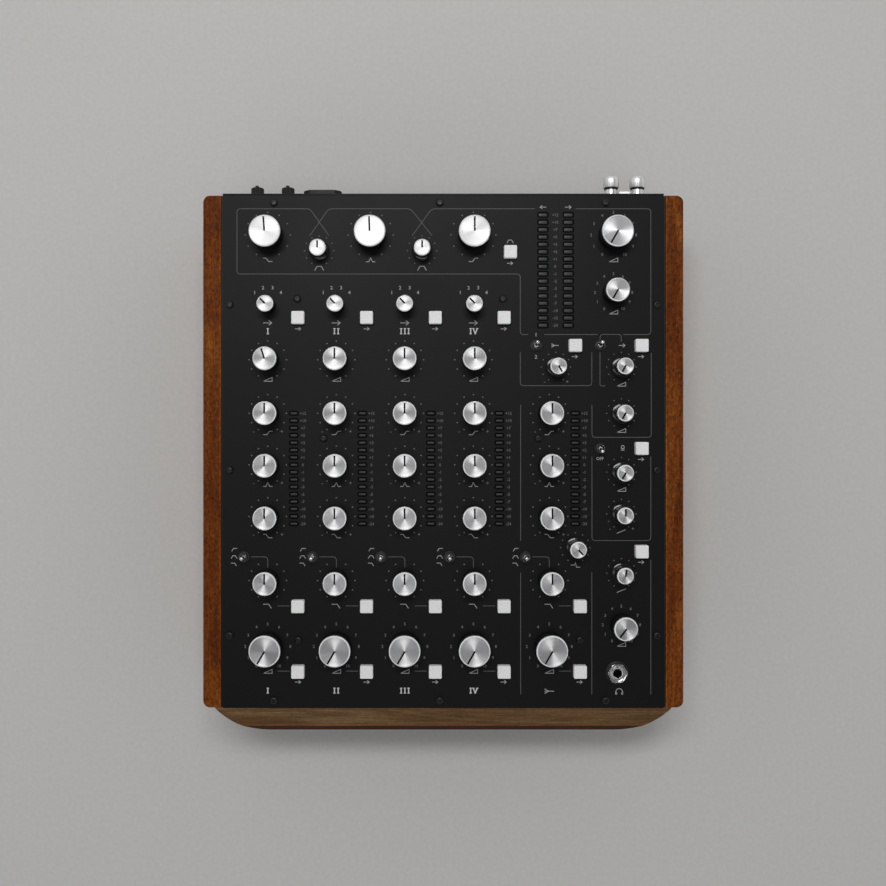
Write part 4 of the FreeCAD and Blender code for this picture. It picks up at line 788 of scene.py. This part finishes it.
POST_CAP = [(0, 10.7), (5.6, 10.7), (5.8, 10.9, 0.16), (5.8, 16.4, 0.16), (5.7, 17.3), (5.2, 18.5),
            (4.2, 19.4), (2.4, 19.9), (0, 20.0)]
POST_LINK = [(0.25, 0), (0, 0.3), (0, 1.3), (0.25, 1.6)]
MAINS_BLADE = [(0, -9.8), (0, 0.5), (0.5, 1.3)]
REAR_HEM = [(0, -6), (0, -1.3), (0.15, -1.0), (0.4, -0.8)]
PHONES_WASHER = [(4.8, 0), (8.2, 0), (8.4, 0.15), (8.4, 0.4), (8.15, 0.6), (4.8, 0.6), (4.8, 0)]
PHONES_NUT = [(7.3, 0.6), (7.6, 0.8), (7.6, 2.3), (7.05, 2.9), (6.9, 3.0), (5.5, 3.0), (4.9, 2.5), (4.9, 0.6),
              (7.3, 0.6)]
COLLAR = [(2.32, -1), (2.95, -1), (3.0, 1.0), (3.0, 2.9), (2.95, 3.16), (2.82, 3.36), (2.64, 3.44),
          (2.46, 3.36), (2.35, 3.16), (2.32, -1)]

metal, satin, black, white, red = [], [], [], [], []
for x, z in mounted("phono_socket"):
    metal += [at_rear(turned(PHONO_BARREL), x, z), at_rear(turned(PHONO_CONTACT, 16), x, z)]
    insert = white if z > WHITE_ROW_FROM else red
    insert.append(at_rear(turned(PHONO_INSERT), x, z))
for x, z in mounted("plug_socket"):
    metal += [at_rear(turned(PLUG_BUSH), x, z), at_rear(turned(PLUG_NUT, 120, 30), x, z)]
    black.append(at_rear(turned(PLUG_LINING, 24), x, z))
for x, z in mounted("balanced_output"):
    black.append(at_rear(flanged_socket(BALANCED_HOLLOW), x, z))
    for a in np.radians((0, 110, -110)):
        pin = move_shell(turned(CONTACT_PIN, 16), (PIN_RING * math.sin(a), PIN_RING * math.cos(a), 0))
        metal.append(at_rear(pin, x, z))
black += [at_rear(flanged_socket(MIC_HOLLOW), x, z) for x, z in mounted("mic_plug_socket")]
for x, z in mounted("balanced_output") + mounted("mic_plug_socket"):
    for side in (-1, 1):
        head = move_shell(turned(FLANGE_SCREW, 20), np.multiply(SCREW_STEP, side))
        black.append(at_rear(head, x, z))
black.append(at_rear(mains_shroud(), MAINS_X, UPPER_ROW))
for step in (-1, 0, 1):
    rise = BLADE_RISE if step else -BLADE_RISE
    blade = square_stack(1.0, 2.0, 0.3, MAINS_BLADE, (BLADE_STEP * step, rise, 0))
    metal.append(at_rear(blade, MAINS_X, UPPER_ROW))
for x in FUSE_X:
    grip = square_stack(1.2, 3.85, 0.5, FUSE_GRIP, (0, 0, 0))
    black += [at_rear(turned(FUSE_CAP, 72, 18), x, UPPER_ROW), at_rear(grip, x, UPPER_ROW)]
for x in POST_X:
    satin += [at_rear(turned(POST_NECK), x, UPPER_ROW), at_rear(turned(POST_CAP, 144, 36), x, UPPER_ROW)]
    black.append(at_rear(turned(POST_RING), x, UPPER_ROW))
link_place = (sum(POST_X) / 2, REAR_EDGE + LINK_DEPTH * MM, UPPER_ROW)
satin.append(square_stack(4.2, LINK_DEPTH, 0.8, POST_LINK, link_place))
phones = (MOUNTS["phones_socket"][0], MOUNTS["phones_socket"][1], PANEL_TOP)
metal += [move_shell(s, phones) for s in (hexagon_nut(13.0, PHONES_NUT), turned(PLUG_BUSH))]
black += [move_shell(s, phones) for s in (turned(PHONES_WASHER, 48), turned(PLUG_LINING, 24))]
half_panel = (panel_high.x - panel_low.x) / 2 / MM
hem_place = (PANEL_MIDDLE[0], REAR_EDGE + HEM_DEPTH * MM, PANEL_TOP)
black.append(square_stack(half_panel, HEM_DEPTH, 0.5, REAR_HEM, hem_place))
collars = [move_shell(turned(COLLAR, 28), (x, y, PANEL_TOP)) for x, y in toggle_places()]
piece("socket_metal", metal, NICKEL, replaced=("sockets",))
piece("ground_posts", satin, SATIN_CHROME)
piece("toggle_collars", collars, SMOKED_NICKEL)
piece("socket_mouldings", black, BLACK_MOULD)
piece("phono_white", white, WHITE_INSERT)
piece("phono_red", red, RED_INSERT)


# Printed legends: raised ink, a few hundredths of a millimetre proud

INK_LOW = PANEL_TOP - 0.01 * MM
INK_HIGH = PANEL_TOP + 0.03 * MM
LINE_WIDTH = 0.42 * MM
SIGN_WIDTH = 0.5 * MM
INK_LAYER = 0.002 * MM
MITRE_LIMIT = 0.5
_glyphs = {}


def rounded_run(points, reach=2.6 * MM, steps=6):
    """A run of straight lines with its inner corners eased."""
    points = np.asarray(points, float)
    if len(points) < 3:
        return points
    return np.vstack([points[:1], eased(points[1:-1], points[:-2], points[2:], reach, steps), points[-1:]])


def stroke(points, width=LINE_WIDTH, layer=0):
    """Flat line: a four-cornered section along the points, mitred at bends, half a width longer at each end.

    The mitre is the bisector of the two ways turned square, times the width over its length squared.
    A line that crosses another has a higher layer, so that no two tops lie in one plane."""
    line = np.array(points, float)
    step = np.diff(line, axis=0)
    way = step / np.linalg.norm(step, axis=1)[:, None]
    line[0] -= way[0] * width / 2
    line[-1] += way[-1] * width / 2
    bisector = np.vstack([way[:1], way]) + np.vstack([way, way[-1:]])
    reach = width / np.maximum((bisector ** 2).sum(1), MITRE_LIMIT)
    side = np.stack([-bisector[:, 1], bisector[:, 0]], -1) * reach[:, None]
    high = INK_HIGH + layer * INK_LAYER
    corners = [(line + side, INK_LOW), (line - side, INK_LOW), (line - side, high), (line + side, high)]
    rings = np.stack([raised(flat, z) for flat, z in corners], 1)
    ends = [np.append(line[i], (INK_LOW + high) / 2) for i in (0, -1)]
    return loft(rings, *ends)


def dot(x, y, radius):
    """Round printed dot."""
    return lathe([(0, INK_LOW), (radius, INK_LOW), (radius, INK_HIGH), (0, INK_HIGH)], 12, (x, y, 0))


def glyph_shell(text):
    """A number, a plus, a minus or OFF as a thin closed shell in the font's own size, centred sideways."""
    if text not in _glyphs:
        curve = bpy.data.curves.new("number", "FONT")
        curve.body = text
        curve.resolution_u = 2
        curve.extrude = 0.5
        curve.offset = 0.02
        curve.align_x = "CENTER"
        holder = bpy.data.objects.new("number", curve)
        mesh = bpy.data.meshes.new_from_object(holder)
        verts = np.array([v.co for v in mesh.vertices])
        faces = [list(p.vertices) for p in mesh.polygons]
        bpy.data.objects.remove(holder)
        bpy.data.curves.remove(curve)
        bpy.data.meshes.remove(mesh)
        _glyphs[text] = (verts, faces)
    return _glyphs[text]


FIGURE_HEIGHT = glyph_shell("0")[0][:, 1].max()


def number(text, x, y, height):
    """Printed number or sign, centred at x, y, with its figures height tall."""
    verts, faces = glyph_shell(text)
    scale = height / FIGURE_HEIGHT
    flat = verts[:, :2] * scale + (x, y - height / 2)
    z = np.where(verts[:, 2] > 0, INK_HIGH, INK_LOW)
    return np.column_stack([flat, z]), faces


def on_panel(x, y):
    """Panel place from millimetres right of and behind its middle."""
    return PANEL_MIDDLE[0] + x * MM, PANEL_MIDDLE[1] + y * MM


def panel_lines():
    """Boxes and leads that group the controls, in millimetres from the panel's middle."""
    runs = [
        [(-82.9, 156.4), (-96.5, 175.7), (-149.3, 175.7), (-149.3, 128.5), (55.7, 128.5), (55.7, 84.7),
         (61.2, 84.7)],
        [(-96.5, 156.4), (-82.9, 175.7), (-23.6, 175.7), (-8.3, 156.4)],
        [(-22.4, 156.4), (-8.3, 175.7), (65.9, 175.7)],
        [(96.0, 175.7), (150.2, 175.7), (150.2, 84.7), (130.4, 84.7)],
        [(73.2, 84.7), (111.4, 84.7)],
        [(55.7, 71.6), (55.7, 47.7), (107.5, 47.7), (107.5, 71.6)],
        [(113.4, 79.0), (113.4, 84.8), (128.8, 84.8), (128.8, 79.4)],
        [(113.4, 72.9), (113.4, 47.5), (117.1, 47.5)],
        [(107.6, 33.7), (107.6, 10.3), (150.5, 10.3), (150.5, 71.3)],
        [(107.6, -3.8), (107.6, -64.4), (150.2, -64.4), (150.2, -3.8)],
        [(107.5, -87.6), (107.5, -175.5)],
        [(150.2, -78.5), (150.2, -175.5)],
        [(56.0, 33.7), (56.0, -64.4)],
        [(56.0, -87.9), (56.0, -175.5)],
    ]
    return [[on_panel(*p) for p in run] for run in runs]


def strip_lines(x):
    """Leads from a strip's mode lever to its filter knob, and from knobs to buttons."""
    leads = [[(x + 7.2 * MM, y), (x + 15.6 * MM, y)] for y in (FILTER_BUTTON_Y, MIX_BUTTON_Y)]
    return [[(x - 12.0 * MM, LEVER_Y), (x, LEVER_Y), (x, filter_y + 9.6 * MM)]] + leads


# Small curve signs, up to two units wide and about one unit high
ARC = [(math.cos(a), math.sin(a)) for a in np.linspace(0, math.pi, 9)]
CURVE_SIGNS = {
    "bass": [[(-1, 0.45), (-0.4, 0.45), (0.2, -0.35), (1, -0.35)]],
    "middle": [[(-1, -0.4), (-0.45, -0.4), (0, 0.5), (0.45, -0.4), (1, -0.4)]],
    "treble": [[(-1, -0.35), (-0.2, -0.35), (0.4, 0.45), (1, 0.45)]],
    "low_pass": [[(-1, 0.4), (0.2, 0.4), (0.8, -0.5)]],
    "high_pass": [[(-0.8, -0.5), (-0.2, 0.4), (1, 0.4)]],
    "both_pass": [[(-1, -0.5), (-0.5, 0.4), (0.5, 0.4), (1, -0.5)]],
    "level": [[(-1, -0.4), (1, -0.4), (1, 0.5), (-1, -0.4)]],
    "peak": [[(-1, 0.0), (-0.2, 0.0), (0, 0.6), (0.25, -0.5), (1, -0.5)]],
    "arrow": [[(-1, 0), (0.9, 0)], [(0.3, 0.5), (0.9, 0), (0.3, -0.5)]],
    "back": [[(1, 0), (-0.9, 0)], [(-0.3, 0.5), (-0.9, 0), (-0.3, -0.5)]],
    "tilt": [[(-1, -0.4), (1, 0.4)]],
    "merge": [[(-1, 0.5), (-0.1, 0), (1, 0)], [(-1, -0.5), (-0.1, 0)], [(-1, 0), (-0.1, 0)]],
    "phones": [[(0.8 * x, 0.9 * y - 0.3) for x, y in ARC], [(-0.8, -0.3), (-0.8, -0.7)],
               [(0.8, -0.3), (0.8, -0.7)], [(-0.55, -0.3), (-0.55, -0.7)], [(0.55, -0.3), (0.55, -0.7)]],
    "capsule": [[(0.4 * x, 0.4 * y + 0.3) for x, y in ARC],
                [(-0.4, 0.3), (-0.4, -0.1), (0.4, -0.1), (0.4, 0.3)],
                [(0, -0.1), (0, -0.6)], [(-0.4, -0.6), (0.4, -0.6)]],
}


def sign(kind, x, y, size):
    """A curve sign centred at x, y, two sizes wide."""
    runs = [[(x + a * size, y + b * size) for a, b in run] for run in CURVE_SIGNS[kind]]
    return [stroke(run, SIGN_WIDTH, i) for i, run in enumerate(runs)]


SOURCE_STOPS = np.radians([-45, -15, 15, 45])
SOURCE_RING = 13.4 * MM
SOURCE_FIGURE = 2.5 * MM
DIAL_STEPS = np.arange(-150, 151, 30)
DIAL_FIGURE = 2.1 * MM
FIGURED_DIALS = ("mix_knob", "master_knob", "booth_knob", "phones_level_knob")
TONE_KNOBS = ("treble_knob", "middle_knob", "bass_knob", "tone_knob", "loop_level_knob")
TONE_END = math.radians(142)
TONE_FIGURE = 2.4 * MM
LOOP_FIGURE = 2.6 * MM
LOOP_RISE = 8.0 * MM
OFF_FIGURE = 2.2 * MM
METER_FIGURES = "+12 +10 +7 +5 +3 +2 +1 0 -1 -2 -3 -5 -7 -10 -15 -24".split()
KNOB_SIGN = 3.1 * MM
SIDE_SIGN = 2.0 * MM


def round_knob(name, ring, angle):
    """Place on a ring round a knob, at a clockwise angle from the rear."""
    x, y = knob_place(name)
    return x + ring * math.sin(angle), y + ring * math.cos(angle)


def dial_marks(name):
    """Dots every 30 degrees round a knob, or figures on the level dials and at the source stops."""
    if name.endswith("source_knob"):
        places = [round_knob(name, SOURCE_RING, a) for a in SOURCE_STOPS]
        return [number(str(i + 1), x, y, SOURCE_FIGURE) for i, (x, y) in enumerate(places)]
    ring = by_size(name, 16.3 * MM, 13.5 * MM, 10.6 * MM)
    steps = DIAL_STEPS[DIAL_STEPS != 0] if name.endswith("filter_knob") else DIAL_STEPS
    places = [round_knob(name, ring, math.radians(a)) for a in steps]
    if name.endswith(FIGURED_DIALS):
        return [number(str(i), x, y, DIAL_FIGURE) for i, (x, y) in enumerate(places)]
    spot = by_size(name, 0.5 * MM, 0.5 * MM, 0.42 * MM)
    return [dot(x, y, spot) for x, y in places]


def knob_signs():
    """A curve sign below each knob apart from the loop level, chosen by what the knob does."""
    kinds = {"treble": "treble", "middle": "middle", "bass": "bass", "filter": "low_pass", "source": "arrow",
             "tone": "tilt", "resonance": "peak", "isolator_low": "bass", "isolator_mid": "middle",
             "isolator_high": "treble", "crossover": "both_pass", "pan": "tilt"}
    shells = []
    for name in knob_axes:
        if name == "loop_level_knob":
            continue
        x, y = knob_place(name)
        drop = by_size(name, 18.2 * MM, 14.4 * MM, 12.6 * MM)
        if name.endswith("filter_knob"):
            drop = FILTER_BUTTON_DROP
        kind = next((k for word, k in kinds.items() if word in name), "level")
        shells += sign(kind, x, y - drop, KNOB_SIGN)
    return shells


def tone_ends():
    """Less and more signs at the stops of the tone knobs."""
    shells = []
    for name in knob_axes:
        if name.endswith(TONE_KNOBS):
            ring = by_size(name, 16.6 * MM, 16.6 * MM, 13.4 * MM)
            shells += [number(text, *round_knob(name, ring, a), TONE_FIGURE)
                       for text, a in (("-", -TONE_END), ("+", TONE_END))]
    return shells


def meter_figures():
    """Level figures beside the meters, from the loudest down."""
    columns = [(x + 25.4 * MM, treble_y) for x in strip_x] + [(strip_x[4] + 4.3 * MM, MAIN_METER_Y)]
    return [number(text, x, y - i * METER_PITCH, DIAL_FIGURE)
            for x, y in columns for i, text in enumerate(METER_FIGURES)]


NUMERALS = ("I", "II", "III", "IV")
NUMERAL_PITCH = {"I": 2.7 * MM, "V": 4.0 * MM}
NUMERAL_SPLAY = {"I": (0,), "V": (-1.4 * MM, 1.4 * MM)}
NUMERAL_STROKE = 0.85 * MM
SERIF_HALF = 0.7 * MM
SERIF_STROKE = 0.45 * MM


def numeral(text, x, y, height):
    """Roman numeral from strokes with short bars at their ends, centred at x, y."""
    high, low = y + height / 2, y - height / 2
    at = x - sum(NUMERAL_PITCH[c] for c in text) / 2
    shells = []
    for letter in text:
        middle = at + NUMERAL_PITCH[letter] / 2
        tops = [middle + splay for splay in NUMERAL_SPLAY[letter]]
        bars = [(top, high) for top in tops]
        if letter == "I":
            bars.append((middle, low))
        shells += [stroke([(top, high), (middle, low)], NUMERAL_STROKE, i) for i, top in enumerate(tops)]
        shells += [stroke([(bar - SERIF_HALF, end), (bar + SERIF_HALF, end)], SERIF_STROKE, 2)
                   for bar, end in bars]
        at += NUMERAL_PITCH[letter]
    return shells


def channel_numbers():
    """Channel numerals at the source row and below the mix knobs."""
    shells = []
    for text, x in zip(NUMERALS, strip_x):
        shells += numeral(text, x, source_y - 18.6 * MM, 3.7 * MM)
        shells += numeral(text, x, mix_y - 32.0 * MM, 3.5 * MM)
    return shells


def mode_signs():
    """Three curve signs beside each filter mode lever."""
    shells = []
    for x in strip_x:
        for kind, rise in (("high_pass", 5.3), ("both_pass", 0), ("low_pass", -5.3)):
            shells += sign(kind, x - 24.4 * MM, LEVER_Y + rise * MM, SIDE_SIGN)
    return shells


def button_signs():
    """A small sign below each square button, apart from the filter buttons, and one above the isolator's."""
    shells = []
    for x, y in button_places():
        if y != FILTER_BUTTON_Y:
            shells += sign("arrow", x, y - 7.9 * MM, SIDE_SIGN)
    return shells + sign("both_pass", ISOLATOR_BUTTON_X, isolator_y - 4.6 * MM, 2.2 * MM)


def loop_numbers():
    """The loop lever's two ways."""
    return [number("1", LOOP_LEVER_X, ROUTING_Y + LOOP_RISE, LOOP_FIGURE),
            number("2", LOOP_LEVER_X, ROUTING_Y - LOOP_RISE, LOOP_FIGURE)]


def section_signs():
    """Signs for whole sections: submix, phones, microphone, the loops and the main meters."""
    low_y = mix_y - 32.4 * MM
    routing_y = gain_y + 10.3 * MM
    meter_y = MAIN_METER_Y + 5.6 * MM
    places = [("merge", strip_x[4], low_y, 3.2), ("phones", phones[0] + 1.6 * MM, low_y, 3.2),
              ("capsule", output_x + 1.0 * MM, middle_y + 12.2 * MM, 2.6),
              ("merge", strip_x[4] + 4.2 * MM, routing_y, 2.4),
              ("arrow", output_x + 0.6 * MM, routing_y, 2.2),
              ("back", MAIN_METER_X[0], meter_y, 2.2), ("arrow", MAIN_METER_X[1], meter_y, 2.2)]
    return [shell for kind, x, y, size in places for shell in sign(kind, x, y, size * MM)]


PRINT_EDGE = 20
LINE_LAYERS = 6
ink = knob_signs() + mode_signs() + button_signs() + section_signs() + loop_numbers()
dials = tone_ends()
for name in sorted(knob_axes):
    group = ink if name.endswith("source_knob") else dials
    group += dial_marks(name)
ink.append(number("OFF", OUTPUT_LEVER_X, middle_y + 4.6 * MM, OFF_FIGURE))
runs = [run for x in strip_x for run in strip_lines(x)] + panel_lines()
lines = [stroke(rounded_run(run), layer=i % LINE_LAYERS) for i, run in enumerate(runs)] + meter_figures()
piece("panel_legends", ink, INK, smooth=PRINT_EDGE)
piece("channel_numerals", channel_numbers(), NUMERAL_INK, smooth=PRINT_EDGE)
piece("dial_marks", dials, DIAL_INK, smooth=PRINT_EDGE)
piece("panel_lines", lines, LINE_INK, smooth=PRINT_EDGE)


# Floor, lights and camera

CAMERA_HEIGHT = 0.710
CAMERA_ASIDE = -19.5 * MM
CAMERA_BACK = 20.7 * MM
VIEW_BACK = 6.2 * MM
VIEW_ASIDE = -0.2 * MM
FRAME_WIDTH = 0.6412
SENSOR = 36.0
FLOOR_HALF = 3.0


def area_light(name, place, aim, size, power):
    """Rectangular soft light at a place, pointed at aim."""
    data = bpy.data.lights.new(name, "AREA")
    data.shape = "RECTANGLE"
    data.size, data.size_y = size
    data.energy = power
    lamp = bpy.data.objects.new(name, data)
    bpy.context.scene.collection.objects.link(lamp)
    lamp.location = place
    back = np.subtract(place, aim)
    lamp.rotation_mode = "QUATERNION"
    lamp.rotation_quaternion = Vector(back).to_track_quat("Z", "Y")


def pale_floor():
    """Large plain floor with a very faint tone change."""
    material = speckled("pale_floor", (0.60, 0.59, 0.57), (0.64, 0.63, 0.61), (0.75, 0.9), 300.0, 0.02 * MM)
    corners = [(x * FLOOR_HALF, y * FLOOR_HALF, 0) for x, y in ((-1, -1), (1, -1), (1, 1), (-1, 1))]
    mesh = bpy.data.meshes.new("floor")
    mesh.from_pydata(corners, [], [(0, 1, 2, 3)])
    mesh.materials.append(material)
    floor = bpy.data.objects.new("floor", mesh)
    bpy.context.scene.collection.objects.link(floor)


def studio():
    """Wide soft key behind and above the desk, a weaker one over its front, in a tent dim overhead."""
    area_light("rear_key", (-0.12, 0.62, 1.55), (0, 0.05, 0.09), (0.80, 0.30), 10.2)
    area_light("front_fill", (-0.05, -0.24, 1.55), (0, -0.06, 0.09), (0.90, 0.22), 1.5)
    world = bpy.data.worlds.new("tent")
    bpy.context.scene.world = world
    world.use_nodes = True
    tree = world.node_tree
    way = add(tree, "TexCoord").outputs["Generated"]
    glow = ramp(tree, [(0.0, (0.86, 0.87, 0.88)), (0.45, (0.80, 0.81, 0.82)), (0.72, (0.13, 0.13, 0.135)),
                       (1.0, (0.10, 0.10, 0.103))], axis_of(tree, way, "Z"))
    feed(tree.nodes["Background"], Color=glow, Strength=0.93)
    bpy.context.scene.view_settings.view_transform = "Standard"


def camera():
    """Straight down over the panel, with the photograph's width of view at the panel's face."""
    data = bpy.data.cameras.new("camera")
    data.sensor_width = SENSOR
    data.lens = SENSOR * CAMERA_HEIGHT / FRAME_WIDTH
    obj = bpy.data.objects.new("camera", data)
    bpy.context.scene.collection.objects.link(obj)
    obj.location = (PANEL_MIDDLE[0] + CAMERA_ASIDE, PANEL_MIDDLE[1] + CAMERA_BACK, PANEL_TOP + CAMERA_HEIGHT)
    data.shift_x = (VIEW_ASIDE - CAMERA_ASIDE) / FRAME_WIDTH
    data.shift_y = (VIEW_BACK - CAMERA_BACK) / FRAME_WIDTH
    bpy.context.scene.camera = obj


pale_floor()
studio()
camera()
